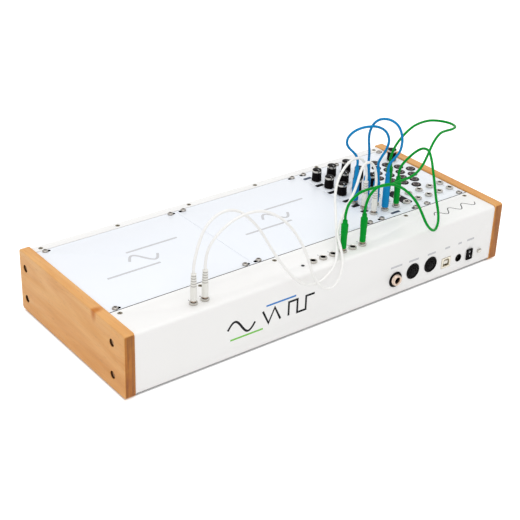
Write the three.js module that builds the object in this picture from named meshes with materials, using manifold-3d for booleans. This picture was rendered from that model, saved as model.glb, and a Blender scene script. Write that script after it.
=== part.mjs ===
// A desktop modular synthesizer: a folded steel case between two wooden cheeks, with one row of
// panels screwed to extruded rails, and six patch cords plugged into its jacks.
// Millimetres. +X is the player's right, +Y the rear with the sockets, +Z up.
// The origin is on the surface the case stands on, under the middle of the case.
import * as THREE from "three";
import { mergeGeometries, mergeVertices } from "three/addons/utils/BufferGeometryUtils.js";
import Module from "manifold-3d";

const wasm = await Module();
wasm.setup();

// The rack row
const hpPitch = 5.08;
const blankHp = 30;
const moduleHp = 12;
const panelLength = 128.5;
const panelThickness = 2;
const panelGap = 0.3;
const rowEndGap = 0.6;
const rowHp = blankHp + blankHp + moduleHp + moduleHp;
const rowWidth = rowHp * hpPitch;

// The folded case
const sheet = 1.5;
const rearStripDepth = 40.3;
const frontStripDepth = 11.9;
const seamGap = 0.4;
const topBend = 3;
const bottomBend = 2.6;
const caseRise = 1.2;
const caseDepth = rearStripDepth + frontStripDepth + panelLength + 2 * seamGap;
const caseWidth = rowWidth + 2 * rowEndGap;

// The cheeks
const cheekThickness = 10.2;
const cheekHeight = 63;
const cheekProud = 1;
const cheekAbovePanel = 1.7;
const cheekCorner = 3;
const cheekEdge = 1.1;
const cheekLift = 1.5;

// Clearances
const seat = 0.3;
const overrun = 1;
const weldTolerance = 1e-4;

// Levels and lines that the pieces share
const cheekTop = cheekLift + cheekHeight;
const panelTop = cheekTop - cheekAbovePanel;
const panelUnder = panelTop - panelThickness;
const caseFloor = cheekLift + caseRise;
const rearFace = caseDepth / 2;
const frontFace = -caseDepth / 2;
const rearSeam = rearFace - rearStripDepth - seamGap;
const frontSeam = frontFace + frontStripDepth + seamGap;
const caseEnd = caseWidth / 2;

// Screws and their places
const panelScrewInset = 3;
const panelScrewHpIn = 1.5;
const panelScrew = { shank: 1.5, head: 2.8, crown: 2, headHeight: 1.7, slotHalf: 1.3 };
const stripScrew = { shank: 1.4, head: 2.5, headHeight: 1.1, length: 5.6 };
const stripScrewPitch = 82.4;
const stripScrewCount = 6;
const stripScrewRun = 5.2;
const cheekScrew = { shank: 1.9, head: 3.2, headHeight: 2.4, recess: 3.7, recessDepth: 5.4, length: 9.4 };
const cheekScrewRear = 20;
const cheekScrewFront = 9.5;
const cheekScrewShares = { high: 0.735, low: 0.227 };

// The rails and the threaded strips in them
const rail = {
  height: 8,
  panelSide: 8.5,
  stripSide: 9.3,
  lip: 1.6,
  slotHalf: 1.8,
  bayHalf: 3.7,
  bayHeight: 4.3,
};
const nutStrip = { width: 6.6, height: 3.4 };

// Places along a panel, from its rear end, as shares of its length
const panelShares = {
  jackRowIn: 0.123,
  jackRowPitch: 0.1113,
  knobRowIn: 0.52,
  knobRowPitch: 0.1572,
  encoderRowIn: 0.796,
  padRowIn: 0.578,
  padRowPitch: 0.084,
};

// Jacks of 3.5 mm, pots and knobs
const jack = { width: 9, depth: 10.4, height: 9, bush: 3, bore: 2, boreDepth: 8.5 };
const jackNut = { radius: 3.9, height: 1.8 };
const jackColumnPitch = 15;
const jackRowPitch = panelShares.jackRowPitch * panelLength;
const jackRowIn = panelShares.jackRowIn * panelLength;
const voiceJackRows = 3;
const touchJackRows = 2;
const jackColumns = 4;
const stripJackPitch = 12;
const stripJackRise = 13.2;
const cvJackCount = 6;
const firstCvJack = 13.8;
const outputJackCount = 2;
const firstOutputJack = 146.4;
const knobPitch = 20.2;
const knobRowPitch = panelShares.knobRowPitch * panelLength;
const knobRowIn = panelShares.knobRowIn * panelLength;
const knobsAcross = 3;
const knob = { radius: 4.9, top: 4.5, height: 12.2, lift: 0.8, edge: 0.5, skirt: 2.2 };
const pot = { width: 9.6, depth: 10.6, height: 6.4, bush: 3.4, bushRise: 4.2, shaft: 2.6, well: 1.2 };
const encoderColumnIn = 10;
const encoderRowIn = panelShares.encoderRowIn * panelLength;
const encoderTravel = 0.5;
const padPitch = 15;
const padRowPitch = panelShares.padRowPitch * panelLength;
const padRowIn = panelShares.padRowIn * panelLength;
const pad = { radius: 4.8, crown: 4.3, height: 0.8 };
const board = 1.6;
const boardMargin = 2.2;

// The sockets on the rear face: steps along X from the case's left end, and heights above the surface
const socketSteps = { rocker: 30.96, hook: 14, dc: 15, usb: 17.5, din: 22, dinPair: 24, phone: 23 };
const rockerX = socketSteps.rocker - caseEnd;
const hookX = rockerX - socketSteps.hook;
const dcX = rockerX + socketSteps.dc;
const usbX = dcX + socketSteps.usb;
const midiOutX = usbX + socketSteps.din;
const midiInX = midiOutX + socketSteps.dinPair;
const phoneX = midiInX + socketSteps.phone;
const phoneZ = 20.3;
const phone = { flange: 7.9, flangeProud: 0.8, bore: 3.3, rise: 3.8, width: 16, height: 17, depth: 21 };
const ferrule = { radius: 5.6, rim: 4.9, bevel: 0.9 };
const dinZ = 22.3;
const din = {
  face: 8.2,
  proud: 0.5,
  ring: 7.3,
  core: 5.9,
  ringDepth: 8,
  box: 19.4,
  depth: 13,
  pinCircle: 3.5,
  pin: 0.8,
  pinDepth: 6,
};
const usbZ = 17.8;
const usb = {
  width: 12.2,
  height: 11,
  mouthWidth: 8.6,
  mouthHeight: 7.8,
  chamfer: 1.8,
  depth: 15,
  wall: 2,
  tongueWidth: 5.5,
  tongueHeight: 3.1,
  tongueIn: 1.2,
};
const dcZ = 17.7;
const dc = { face: 3.9, proud: 0.4, bore: 2.95, pin: 1, boreDepth: 9, width: 9, height: 11, depth: 13 };
const rocker = {
  width: 10.2,
  height: 12,
  proud: 1.2,
  bodyWidth: 8.6,
  bodyHeight: 10.4,
  depth: 11,
  wellWidth: 6.6,
  wellHeight: 9.2,
  wellDepth: 6.5,
  skirt: 2.4,
  taper: 0.2,
  keel: 1.8,
  keelHalf: 1.2,
};
const rockerTilt = 8;
const hook = { width: 7.4, height: 4.2, reach: 3.4, gauge: 1.1, corner: 0.8 };

// Boards, headers and feet inside and below
const busBoard = { width: 300, depth: 44, x: 40, y: -20 };
const header = { width: 25, depth: 8.8, height: 9.1, count: 4, pitch: 72, wall: 1, well: 6.4 };
const standoff = { radius: 2.8, height: 5 };
const rearBoard = { margin: 10.2, depth: 30 };
const bracket = { gauge: 2, legRear: 27, legFront: 16, legWall: 12, low: 8 };
const foot = { radius: 7, top: 6.4, endInset: 23.96, faceInset: 20.75, flare: 0.7 };
const led = { radius: 1.5, crown: 1, rise: 0.6 };

// Patch cords and their plugs: radii and heights above the plug's own foot
const cordRadius = 1.3;
const cordStep = 7.6;
const cordLead = 5;
const cordSides = 8;
const plugPin = { radius: 1.7, tip: 0.9, tipLength: 2.4, length: 12.1 };
const collar = { radius: 2.5, height: 1.3 };
const greenBoot = [[2.9, 1.3], [3.1, 15.6], [3.4, 19], [3.4, 25.8], [2.4, 27.4], [1.9, 30.6]];
const blueBoot = [[3.3, 1.3], [3.5, 2], [3.5, 24.6], [2.3, 32], [1.9, 38.6]];
const whiteBoot = {
  radius: 2.6,
  low: 1.3,
  ribs: 4,
  ribPitch: 2.4,
  ribDepth: 0.6,
  firstRib: 17.2,
  top: 1.9,
  height: 27.6,
};

// Facets
const roundSides = 10;
const turningSides = 8;
const footSides = 8;
const smallSides = 6;
const plugSides = 6;
const bendSteps = 2;
const cheekBevelSteps = 2;

// A regular polygon, all of them turned alike so that a shaft and its hole stay parallel
function ringPoints(radius, sides, x = 0, y = 0) {
  const points = [];
  for (let i = 0; i < sides; i += 1) {
    const angle = (2 * Math.PI * (i + 0.5)) / sides;
    points.push(new THREE.Vector2(x + radius * Math.cos(angle), y + radius * Math.sin(angle)));
  }
  return points;
}

function rectPoints(width, height, x = 0, y = 0) {
  const w = width / 2;
  const h = height / 2;
  return [[-w, -h], [w, -h], [w, h], [-w, h]].map(([u, v]) => new THREE.Vector2(x + u, y + v));
}

// A slot with round ends, long along X
function slotPoints(half, radius, sides, x, y) {
  return ringPoints(radius, sides, x, y).map((p) => new THREE.Vector2(p.x + Math.sign(p.x - x) * half, p.y));
}

// Shared corners become one vertex, and flat slivers at a pole are dropped
function weld(geometry) {
  const bare = new THREE.BufferGeometry();
  bare.setAttribute("position", geometry.getAttribute("position"));
  if (geometry.index) bare.setIndex(geometry.index);
  const merged = mergeVertices(bare, weldTolerance);
  const index = merged.index.array;
  const kept = [];
  for (let i = 0; i < index.length; i += 3) {
    const [a, b, c] = [index[i], index[i + 1], index[i + 2]];
    if (a !== b && b !== c && a !== c) kept.push(a, b, c);
  }
  merged.setIndex(kept);
  return merged;
}

function toSolid(geometry) {
  const welded = weld(geometry);
  const vertProperties = new Float32Array(welded.getAttribute("position").array);
  const triVerts = new Uint32Array(welded.index.array);
  return new wasm.Manifold(new wasm.Mesh({ numProp: 3, vertProperties, triVerts }));
}

function toGeometry(solid) {
  const mesh = solid.getMesh();
  const geometry = new THREE.BufferGeometry();
  geometry.setAttribute("position", new THREE.BufferAttribute(new Float32Array(mesh.vertProperties), 3));
  geometry.setIndex(new THREE.BufferAttribute(new Uint32Array(mesh.triVerts), 1));
  return geometry;
}

// Several cutting shapes that stand apart, taken as one
function group(geometries) {
  return mergeGeometries(geometries.map(weld));
}

function cut(geometry, tools) {
  return toGeometry(toSolid(geometry).subtract(toSolid(group(tools))));
}

function cutEach(geometry, tools) {
  let solid = toSolid(geometry);
  for (const tool of tools) solid = solid.subtract(toSolid(tool));
  return toGeometry(solid);
}

function join(geometries) {
  let solid = toSolid(geometries[0]);
  for (const next of geometries.slice(1)) solid = solid.add(toSolid(next));
  return toGeometry(solid);
}

// An outline, with any holes, raised from one level to another along Z
function prism(outline, holes, low, high) {
  const shape = new THREE.Shape(outline);
  for (const hole of holes) shape.holes.push(new THREE.Path(hole));
  const settings = { depth: high - low, bevelEnabled: false, curveSegments: bendSteps };
  return new THREE.ExtrudeGeometry(shape, settings).translate(0, 0, low);
}

function block(width, depth, height, x, y, z) {
  return new THREE.BoxGeometry(width, depth, height).translate(x, y, z);
}

function post(radius, low, high, x = 0, y = 0, sides = smallSides) {
  return prism(ringPoints(radius, sides, x, y), [], low, high);
}

// A turned piece from its profile of radius and height pairs, standing on Z
function turned(profile, sides = roundSides) {
  const points = profile.map(([radius, height]) => new THREE.Vector2(radius, height));
  if (THREE.ShapeUtils.area(points) < 0) points.reverse();
  const geometry = new THREE.LatheGeometry(points, sides, Math.PI / sides);
  return geometry.rotateX(Math.PI / 2);
}

// Turns a piece made along Z to point at the rear, keeping its X
function toRear(geometry) {
  return geometry.rotateX(-Math.PI / 2);
}

// Turns an outline drawn in Y and Z, raised along its own axis, to run along X
function alongX(geometry) {
  const y = new THREE.Vector3(0, 1, 0);
  const z = new THREE.Vector3(0, 0, 1);
  const x = new THREE.Vector3(1, 0, 0);
  return geometry.applyMatrix4(new THREE.Matrix4().makeBasis(y, z, x));
}

const model = new THREE.Group();

function place(name, geometry, color, roughness, metalness, position = [0, 0, 0], parent = model) {
  const material = new THREE.MeshStandardMaterial({ color, roughness, metalness });
  const mesh = new THREE.Mesh(weld(geometry), material);
  mesh.name = name;
  mesh.position.set(...position);
  parent.add(mesh);
  return mesh;
}

// Places along the row: each panel from the player's right to the left
const rowRight = rowWidth / 2;
const panels = [
  { name: "blank_panel_right", hp: blankHp },
  { name: "blank_panel_middle", hp: blankHp },
  { name: "voice_panel", hp: moduleHp },
  { name: "touch_panel", hp: moduleHp },
];
let edge = rowRight;
for (const panel of panels) {
  panel.width = panel.hp * hpPitch;
  panel.x = edge - panel.width / 2;
  edge -= panel.width;
}
const voiceX = panels[2].x;
const touchX = panels[3].x;
const panelY = (rearSeam + frontSeam) / 2;
const panelScrewLines = [rearSeam - panelScrewInset, frontSeam + panelScrewInset];
const panelScrewXs = panels.flatMap((panel) => {
  const reach = panel.width / 2 - panelScrewHpIn * hpPitch;
  return [panel.x - reach, panel.x + reach];
});
const stripScrewLines = [rearSeam + stripScrewRun, frontSeam - stripScrewRun];
const stripScrewXs = Array.from(
  { length: stripScrewCount },
  (_, i) => (i - (stripScrewCount - 1) / 2) * stripScrewPitch,
);
const knobXs = Array.from({ length: knobsAcross }, (_, i) => voiceX + ((knobsAcross - 1) / 2 - i) * knobPitch);
const knobYs = Array.from({ length: knobsAcross }, (_, i) => rearSeam - knobRowIn - i * knobRowPitch);
const encoderX = touchX - (moduleHp * hpPitch) / 2 + encoderColumnIn;
const encoderY = rearSeam - encoderRowIn;
const stripJackY = rearFace - stripJackRise;

function jackGrid(centre, rows) {
  const places = [];
  for (let row = 0; row < rows; row += 1) {
    for (let column = 0; column < jackColumns; column += 1) {
      const x = centre + ((jackColumns - 1) / 2 - column) * jackColumnPitch;
      places.push([x, rearSeam - jackRowIn - row * jackRowPitch]);
    }
  }
  return places;
}
const voiceJacks = jackGrid(voiceX, voiceJackRows);
const touchJacks = jackGrid(touchX, touchJackRows);
const cvJacks = Array.from({ length: cvJackCount }, (_, i) => [firstCvJack - i * stripJackPitch, stripJackY]);
const outputJacks = Array.from(
  { length: outputJackCount },
  (_, i) => [firstOutputJack - i * stripJackPitch, stripJackY],
);
const ledPlace = [firstCvJack + stripJackPitch, stripJackY];

// Pads in a square of four by four, turned to stand on its corner
const padPlaces = [];
const padSide = 4;
for (let row = 0; row < 2 * padSide - 1; row += 1) {
  const across = padSide - Math.abs(row - (padSide - 1));
  for (let i = 0; i < across; i += 1) {
    const x = touchX + ((across - 1) / 2 - i) * padPitch;
    padPlaces.push([x, rearSeam - padRowIn + (padSide - 1 - row) * padRowPitch]);
  }
}

// Case shell: one sheet folded four times, open at the top for the row and at both ends
function caseProfile() {
  const shape = new THREE.Shape();
  const inTop = topBend - sheet;
  const inBottom = bottomBend - sheet;
  const quarter = Math.PI / 2;
  const rearEdge = rearSeam + seamGap;
  const frontEdge = frontSeam - seamGap;
  shape.moveTo(rearEdge, panelTop);
  shape.lineTo(rearFace - topBend, panelTop);
  shape.absarc(rearFace - topBend, panelTop - topBend, topBend, quarter, 0, true);
  shape.lineTo(rearFace, caseFloor + bottomBend);
  shape.absarc(rearFace - bottomBend, caseFloor + bottomBend, bottomBend, 0, -quarter, true);
  shape.lineTo(frontFace + bottomBend, caseFloor);
  shape.absarc(frontFace + bottomBend, caseFloor + bottomBend, bottomBend, -quarter, -2 * quarter, true);
  shape.lineTo(frontFace, panelTop - topBend);
  shape.absarc(frontFace + topBend, panelTop - topBend, topBend, 2 * quarter, quarter, true);
  shape.lineTo(frontEdge, panelTop);
  shape.lineTo(frontEdge, panelTop - sheet);
  shape.lineTo(frontFace + topBend, panelTop - sheet);
  shape.absarc(frontFace + topBend, panelTop - topBend, inTop, quarter, 2 * quarter, false);
  shape.lineTo(frontFace + sheet, caseFloor + bottomBend);
  shape.absarc(frontFace + bottomBend, caseFloor + bottomBend, inBottom, 2 * quarter, 3 * quarter, false);
  shape.lineTo(rearFace - bottomBend, caseFloor + sheet);
  shape.absarc(rearFace - bottomBend, caseFloor + bottomBend, inBottom, -quarter, 0, false);
  shape.lineTo(rearFace - sheet, panelTop - topBend);
  shape.absarc(rearFace - topBend, panelTop - topBend, inTop, 0, quarter, false);
  shape.lineTo(rearEdge, panelTop - sheet);
  return shape.extractPoints(bendSteps).shape;
}

const dinXs = [midiInX, midiOutX];

function caseShell() {
  const length = caseWidth - 2 * seat;
  const body = alongX(prism(caseProfile(), [], -length / 2, length / 2));
  const through = sheet + 2 * overrun;
  const tools = [];
  for (const x of stripScrewXs) {
    for (const y of stripScrewLines) tools.push(countersink(stripScrew, x, y));
  }
  for (const [x, y] of [...cvJacks, ...outputJacks]) {
    tools.push(post(jack.bush + seat, panelTop - sheet - overrun, panelTop + overrun, x, y));
  }
  tools.push(post(led.radius + seat, panelTop - sheet - overrun, panelTop + overrun, ...ledPlace));
  const wall = rearFace - sheet - overrun;
  const window = (outline, x, z) => toRear(prism(outline, [], 0, through)).translate(x, wall, z);
  tools.push(window(ringPoints(phone.flange + seat, roundSides), phoneX, phoneZ));
  for (const x of dinXs) tools.push(window(ringPoints(din.face + seat, roundSides), x, dinZ));
  tools.push(window(rectPoints(usb.width + 2 * seat, usb.height + 2 * seat), usbX, usbZ));
  tools.push(window(ringPoints(dc.face + seat, roundSides), dcX, dcZ));
  tools.push(window(rectPoints(rocker.bodyWidth + 2 * seat, rocker.bodyHeight + 2 * seat), rockerX, usbZ));
  return join([cut(body, tools), leadHook()]);
}

// Lead hook: a strap bent out of the wall by the switch, for the tie of a power lead
function leadHook() {
  const half = hook.width / 2;
  const outline = [
    [-half, -sheet / 2], [-half + hook.gauge, -sheet / 2], [-half + hook.gauge, hook.reach - hook.gauge],
    [half - hook.gauge, hook.reach - hook.gauge], [half - hook.gauge, -sheet / 2], [half, -sheet / 2],
    [half, hook.reach - hook.corner], [half - hook.corner, hook.reach],
    [-half + hook.corner, hook.reach], [-half, hook.reach - hook.corner],
  ].map(([x, y]) => new THREE.Vector2(x, y));
  return prism(outline, [], -hook.height / 2, hook.height / 2).translate(hookX, rearFace, usbZ);
}

// The room a sunk screw head and its shank take in the strip
function countersink(screw, x, y) {
  const profile = [
    [0, panelTop - sheet - overrun],
    [screw.shank + seat, panelTop - sheet - overrun],
    [screw.shank + seat, panelTop - screw.headHeight - seat],
    [screw.head + seat, panelTop],
    [screw.head + seat, panelTop + overrun],
    [0, panelTop + overrun],
  ];
  return turned(profile, smallSides).translate(x, y, 0);
}

place("case_shell", caseShell(), 0xf1f0ee, 0.45, 0.1);

// Cheeks: boards with rounded edges, and a deep recess for each screw
const cheekScrewYs = [rearFace - cheekScrewRear, frontFace + cheekScrewFront];
const cheekScrewZs = [cheekScrewShares.high, cheekScrewShares.low].map((share) => cheekLift + share * cheekHeight);
const cheekScrewPlaces = cheekScrewYs.flatMap((y) => cheekScrewZs.map((z) => [y, z]));

function cheek(side) {
  const depth = caseDepth + 2 * cheekProud;
  const shape = new THREE.Shape();
  const w = depth / 2 - cheekEdge;
  const h = cheekHeight / 2 - cheekEdge;
  const r = cheekCorner - cheekEdge;
  const quarter = Math.PI / 2;
  shape.moveTo(-w + r, -h);
  shape.absarc(w - r, -h + r, r, -quarter, 0, false);
  shape.absarc(w - r, h - r, r, 0, quarter, false);
  shape.absarc(-w + r, h - r, r, quarter, 2 * quarter, false);
  shape.absarc(-w + r, -h + r, r, 2 * quarter, 3 * quarter, false);
  const board = new THREE.ExtrudeGeometry(shape, {
    depth: cheekThickness - 2 * cheekEdge,
    bevelThickness: cheekEdge,
    bevelSize: cheekEdge,
    bevelSegments: cheekBevelSteps,
    curveSegments: bendSteps,
  });
  const centred = alongX(board.translate(0, 0, cheekEdge - cheekThickness / 2));
  const tools = cheekScrewPlaces.map(([y, z]) => {
    const recess = [
      [0, -overrun],
      [cheekScrew.recess, -overrun],
      [cheekScrew.recess, cheekScrew.recessDepth],
      [cheekScrew.shank + seat, cheekScrew.recessDepth],
      [cheekScrew.shank + seat, cheekThickness + overrun],
      [0, cheekThickness + overrun],
    ];
    const hollow = turned(recess, smallSides).rotateY((-side * Math.PI) / 2);
    return hollow.translate((side * cheekThickness) / 2, y, z - cheekLift - cheekHeight / 2);
  });
  return cut(centred, tools);
}

for (const [name, side] of [["left_cheek", -1], ["right_cheek", 1]]) {
  const x = side * (caseEnd + cheekThickness / 2);
  place(name, cheek(side), 0xd39a5c, 0.6, 0, [x, 0, cheekLift + cheekHeight / 2]);
}

// A cheek screw: a socket head at the bottom of its recess, threaded into a bracket
function cheekScrewSolid(side, y, z) {
  const sunk = cheekScrew.recessDepth - seat;
  const profile = [
    [0, sunk - cheekScrew.headHeight],
    [cheekScrew.head, sunk - cheekScrew.headHeight],
    [cheekScrew.head, sunk],
    [cheekScrew.shank, sunk],
    [cheekScrew.shank, sunk + cheekScrew.length],
    [0, sunk + cheekScrew.length],
  ];
  const screw = turned(profile, smallSides).rotateY((-side * Math.PI) / 2);
  return screw.translate(side * (caseEnd + cheekThickness), y, z);
}

// Corner brackets: angle pieces on the front and rear walls, each with its two cheek screws
const bracketTop = panelUnder - 3 * seat - rail.height;

function cornerBracket(side, face) {
  const inner = caseEnd - seat;
  const wall = rearFace - sheet - seat;
  const leg = face > 0 ? bracket.legRear : bracket.legFront;
  const outline = [
    [inner, wall],
    [inner - bracket.legWall, wall],
    [inner - bracket.legWall, wall - bracket.gauge],
    [inner - bracket.gauge, wall - bracket.gauge],
    [inner - bracket.gauge, wall - leg],
    [inner, wall - leg],
  ].map(([x, y]) => new THREE.Vector2(side * x, face * y));
  const angle = prism(outline, [], bracket.low, bracketTop);
  const y = face > 0 ? cheekScrewYs[0] : cheekScrewYs[1];
  return join([angle, ...cheekScrewZs.map((z) => cheekScrewSolid(side, y, z))]);
}

for (const [end, side] of [["left", -1], ["right", 1]]) {
  place(`front_${end}_bracket`, cornerBracket(side, -1), 0xb9bcc0, 0.35, 0.9);
  place(`rear_${end}_bracket`, cornerBracket(side, 1), 0xb9bcc0, 0.35, 0.9);
}

// Rails: extrusions with a slot for the threaded strip under the panel screws
const railTop = panelUnder - seat;
const railStripTop = panelTop - sheet - seat;

function railProfile(seam, face) {
  const screwLine = -panelScrewInset;
  const low = railTop - rail.height;
  const bayTop = railTop - rail.lip;
  return [
    [-rail.panelSide, low],
    [rail.stripSide, low],
    [rail.stripSide, railStripTop],
    [seamGap, railStripTop],
    [seamGap, railTop],
    [screwLine + rail.slotHalf, railTop],
    [screwLine + rail.slotHalf, bayTop],
    [screwLine + rail.bayHalf, bayTop],
    [screwLine + rail.bayHalf, bayTop - rail.bayHeight],
    [screwLine - rail.bayHalf, bayTop - rail.bayHeight],
    [screwLine - rail.bayHalf, bayTop],
    [screwLine - rail.slotHalf, bayTop],
    [screwLine - rail.slotHalf, railTop],
    [-rail.panelSide, railTop],
  ].map(([run, z]) => new THREE.Vector2(seam + face * run, z));
}

// A strip screw: a flush head in the case's strip, threaded into the rail
function stripScrewSolid(x, y) {
  const profile = [
    [0, panelTop],
    [stripScrew.head, panelTop],
    [stripScrew.shank, panelTop - stripScrew.headHeight],
    [stripScrew.shank, panelTop - stripScrew.length],
    [0, panelTop - stripScrew.length],
  ];
  return turned(profile, smallSides).translate(x, y, 0);
}

function railPiece(seam, face, screwLine) {
  const half = caseEnd - seat;
  const body = alongX(prism(railProfile(seam, face), [], -half, half));
  return join([body, ...stripScrewXs.map((x) => stripScrewSolid(x, screwLine))]);
}

place("front_rail", railPiece(frontSeam, -1, stripScrewLines[1]), 0xc3c6c9, 0.3, 0.9);
place("rear_rail", railPiece(rearSeam, 1, stripScrewLines[0]), 0xc3c6c9, 0.3, 0.9);

// A panel screw: a pan head with a driver recess, through the panel's slot into the threaded strip
const nutStripTop = railTop - rail.lip - seat;

function panelScrewSolid(x, y) {
  const under = panelTop + seat;
  const high = under + panelScrew.headHeight;
  const profile = [
    [0, high],
    [panelScrew.crown, high],
    [panelScrew.head, under],
    [panelScrew.shank, under],
    [panelScrew.shank, nutStripTop - nutStrip.height / 2],
    [0, nutStripTop - nutStrip.height / 2],
  ];
  return turned(profile, smallSides).translate(x, y, 0);
}

function threadedStrip(y) {
  const outline = rectPoints(2 * (caseEnd - seat), nutStrip.width, 0, y);
  const bar = prism(outline, [], nutStripTop - nutStrip.height, nutStripTop);
  return join([bar, ...panelScrewXs.map((x) => panelScrewSolid(x, y))]);
}

place("rear_threaded_strip", threadedStrip(panelScrewLines[0]), 0xb7b3aa, 0.25, 1);
place("front_threaded_strip", threadedStrip(panelScrewLines[1]), 0xb7b3aa, 0.25, 1);

// Panels: flat plates with a slot at each corner and the holes their parts come through
function panelPlate(panel, holes) {
  const width = panel.width - panelGap;
  const outline = rectPoints(width, panelLength - panelGap, panel.x, panelY);
  const reach = panel.width / 2 - panelScrewHpIn * hpPitch;
  const slots = [-reach, reach].flatMap((u) => panelScrewLines.map(
    (y) => slotPoints(panelScrew.slotHalf, panelScrew.shank + seat, smallSides, panel.x + u, y),
  ));
  return prism(outline, [...slots, ...holes], panelUnder, panelTop);
}

const jackHole = ([x, y]) => ringPoints(jack.bush + seat, smallSides, x, y);
const potHole = (x, y) => ringPoints(pot.bush + seat, smallSides, x, y);
const knobPlaces = knobYs.flatMap((y) => knobXs.map((x) => [x, y]));

const panelHoles = {
  blank_panel_right: [],
  blank_panel_middle: [],
  voice_panel: [...voiceJacks.map(jackHole), ...knobPlaces.map(([x, y]) => potHole(x, y))],
  touch_panel: [...touchJacks.map(jackHole), potHole(encoderX, encoderY)],
};

// A touch pad: a low disc that stands on its panel
function padSolid(x, y) {
  const profile = [
    [0, panelTop - panelThickness / 2],
    [pad.radius, panelTop - panelThickness / 2],
    [pad.crown, panelTop + pad.height],
    [0, panelTop + pad.height],
  ];
  return turned(profile, footSides).translate(x, y, 0);
}

for (const panel of panels) {
  const plate = panelPlate(panel, panelHoles[panel.name]);
  const pads = panel.name === "touch_panel" ? padPlaces.map(([x, y]) => padSolid(x, y)) : [];
  place(panel.name, join([plate, ...pads]), 0xf4f6fa, 0.4, 0.2);
}

// A jack: a moulded body on its board, with a threaded bush through the panel and its nut on top
function jackSolid(x, y, under) {
  const low = under - seat - jack.height;
  const body = block(jack.width, jack.depth, jack.height, x, y, low + jack.height / 2);
  const top = panelTop + seat + jackNut.height;
  const bush = post(jack.bush, under - seat - overrun, top - jackNut.height / 2, x, y);
  const nut = post(jackNut.radius, panelTop + seat, top, x, y);
  const bore = post(jack.bore, under - seat - jack.boreDepth, top + overrun, x, y);
  return cut(join([body, bush, nut]), [bore]);
}

// A pot: a square body on its board, with a bush through the panel and a well for the shaft
function potSolid(x, y) {
  const low = moduleBoardTop;
  const rise = panelTop + pot.bushRise;
  const body = block(pot.width, pot.depth, pot.height, x, y, low + pot.height / 2);
  const bush = post(pot.bush, low + pot.height - overrun, rise, x, y);
  const well = post(pot.shaft + seat, low + pot.well, rise + overrun, x, y, turningSides);
  return cut(join([body, bush]), [well]);
}

// Boards behind the panels, with all that is soldered to them
const moduleBoardTop = panelUnder - seat - jack.height;
const boardRear = rearSeam - rail.panelSide - boardMargin;
const boardFront = frontSeam + rail.panelSide + boardMargin;

function moduleCircuit(x, parts) {
  const width = moduleHp * hpPitch - 2 * boardMargin;
  const y = (boardRear + boardFront) / 2;
  const plate = block(width, boardRear - boardFront, board, x, y, moduleBoardTop - board / 2);
  return join([plate, ...parts]);
}

const voiceParts = [
  ...voiceJacks.map(([x, y]) => jackSolid(x, y, panelUnder)),
  ...knobPlaces.map(([x, y]) => potSolid(x, y)),
];
const touchParts = [
  ...touchJacks.map(([x, y]) => jackSolid(x, y, panelUnder)),
  potSolid(encoderX, encoderY),
];
place("voice_circuit", moduleCircuit(voiceX, voiceParts), 0x9a9a98, 0.3, 0.8);
place("touch_circuit", moduleCircuit(touchX, touchParts), 0x2a2b2c, 0.5, 0.2);

// Knobs: tall caps with a pointer groove, each on its shaft
const shaftFoot = moduleBoardTop + seat + pot.well + seat - panelTop;
const knobTopZ = knob.lift + knob.height;
const knobWellTop = pot.bushRise + overrun;

function knobCap(lift) {
  const top = lift + knob.height;
  const wellRadius = pot.bush + 2 * seat;
  const ceiling = lift + knobWellTop;
  const profile = [
    [0, top],
    [knob.top - knob.edge, top],
    [knob.top, top - knob.edge],
    [knob.radius, lift + knob.skirt],
    [knob.radius, lift],
    [wellRadius, lift],
    [wellRadius, ceiling],
    [0, ceiling],
  ];
  return turned(profile, turningSides);
}

function shaft(low, high) {
  return post(pot.shaft, low, high, 0, 0, turningSides);
}

function knobGeometry() {
  const shaftTop = knob.lift + knob.height - overrun;
  return join([knobCap(knob.lift), shaft(shaftFoot, shaftTop)]);
}

knobPlaces.forEach(([x, y], i) => {
  place(`knob_${i + 1}`, knobGeometry(), 0x17171a, 0.45, 0, [x, y, panelTop]);
});

// Encoder: the shaft presses in, and the cap turns round it
const encoderLift = knob.lift + encoderTravel;
const encoderShaftTop = encoderLift + knobWellTop + overrun;

function encoderCap() {
  const socket = post(pot.shaft + seat, encoderLift, encoderShaftTop + seat, 0, 0, turningSides);
  return cutEach(knobCap(encoderLift), [socket]);
}

const encoderPlace = [encoderX, encoderY, panelTop];
const encoderShaft = shaft(shaftFoot + encoderTravel, encoderShaftTop);
place("encoder_shaft", encoderShaft, 0xb5b7b8, 0.3, 0.9, encoderPlace);
place("encoder_knob", encoderCap(), 0x17171a, 0.45, 0, encoderPlace);

// Strip board: carries the jacks and the lamp under the rear strip
const stripUnder = panelTop - sheet;
const stripBoardTop = stripUnder - seat - jack.height;

function statusLed() {
  const profile = [
    [0, stripBoardTop - board / 2],
    [led.radius, stripBoardTop - board / 2],
    [led.radius, panelTop],
    [led.crown, panelTop + led.rise],
    [0, panelTop + led.rise],
  ];
  return turned(profile, smallSides).translate(...ledPlace, 0);
}

function stripCircuit() {
  const left = cvJacks[cvJackCount - 1][0] - jack.width;
  const right = outputJacks[0][0] + jack.width;
  const depth = jack.depth + 2 * boardMargin;
  const plate = block(right - left, depth, board, (left + right) / 2, stripJackY, stripBoardTop - board / 2);
  const jacks = [...cvJacks, ...outputJacks].map(([x, y]) => jackSolid(x, y, stripUnder));
  return join([plate, ...jacks, statusLed()]);
}

place("strip_circuit", stripCircuit(), 0x9a9a98, 0.3, 0.8);

// Rear board: stands on posts behind the sockets
const boardLevel = caseFloor + sheet + seat + standoff.height;
const rearBoardY = rearFace - sheet - overrun - rearBoard.depth / 2;

function boardPosts(places) {
  const low = caseFloor + sheet + seat;
  return places.map(([x, y]) => post(standoff.radius, low, boardLevel + board / 2, x, y));
}

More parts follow.
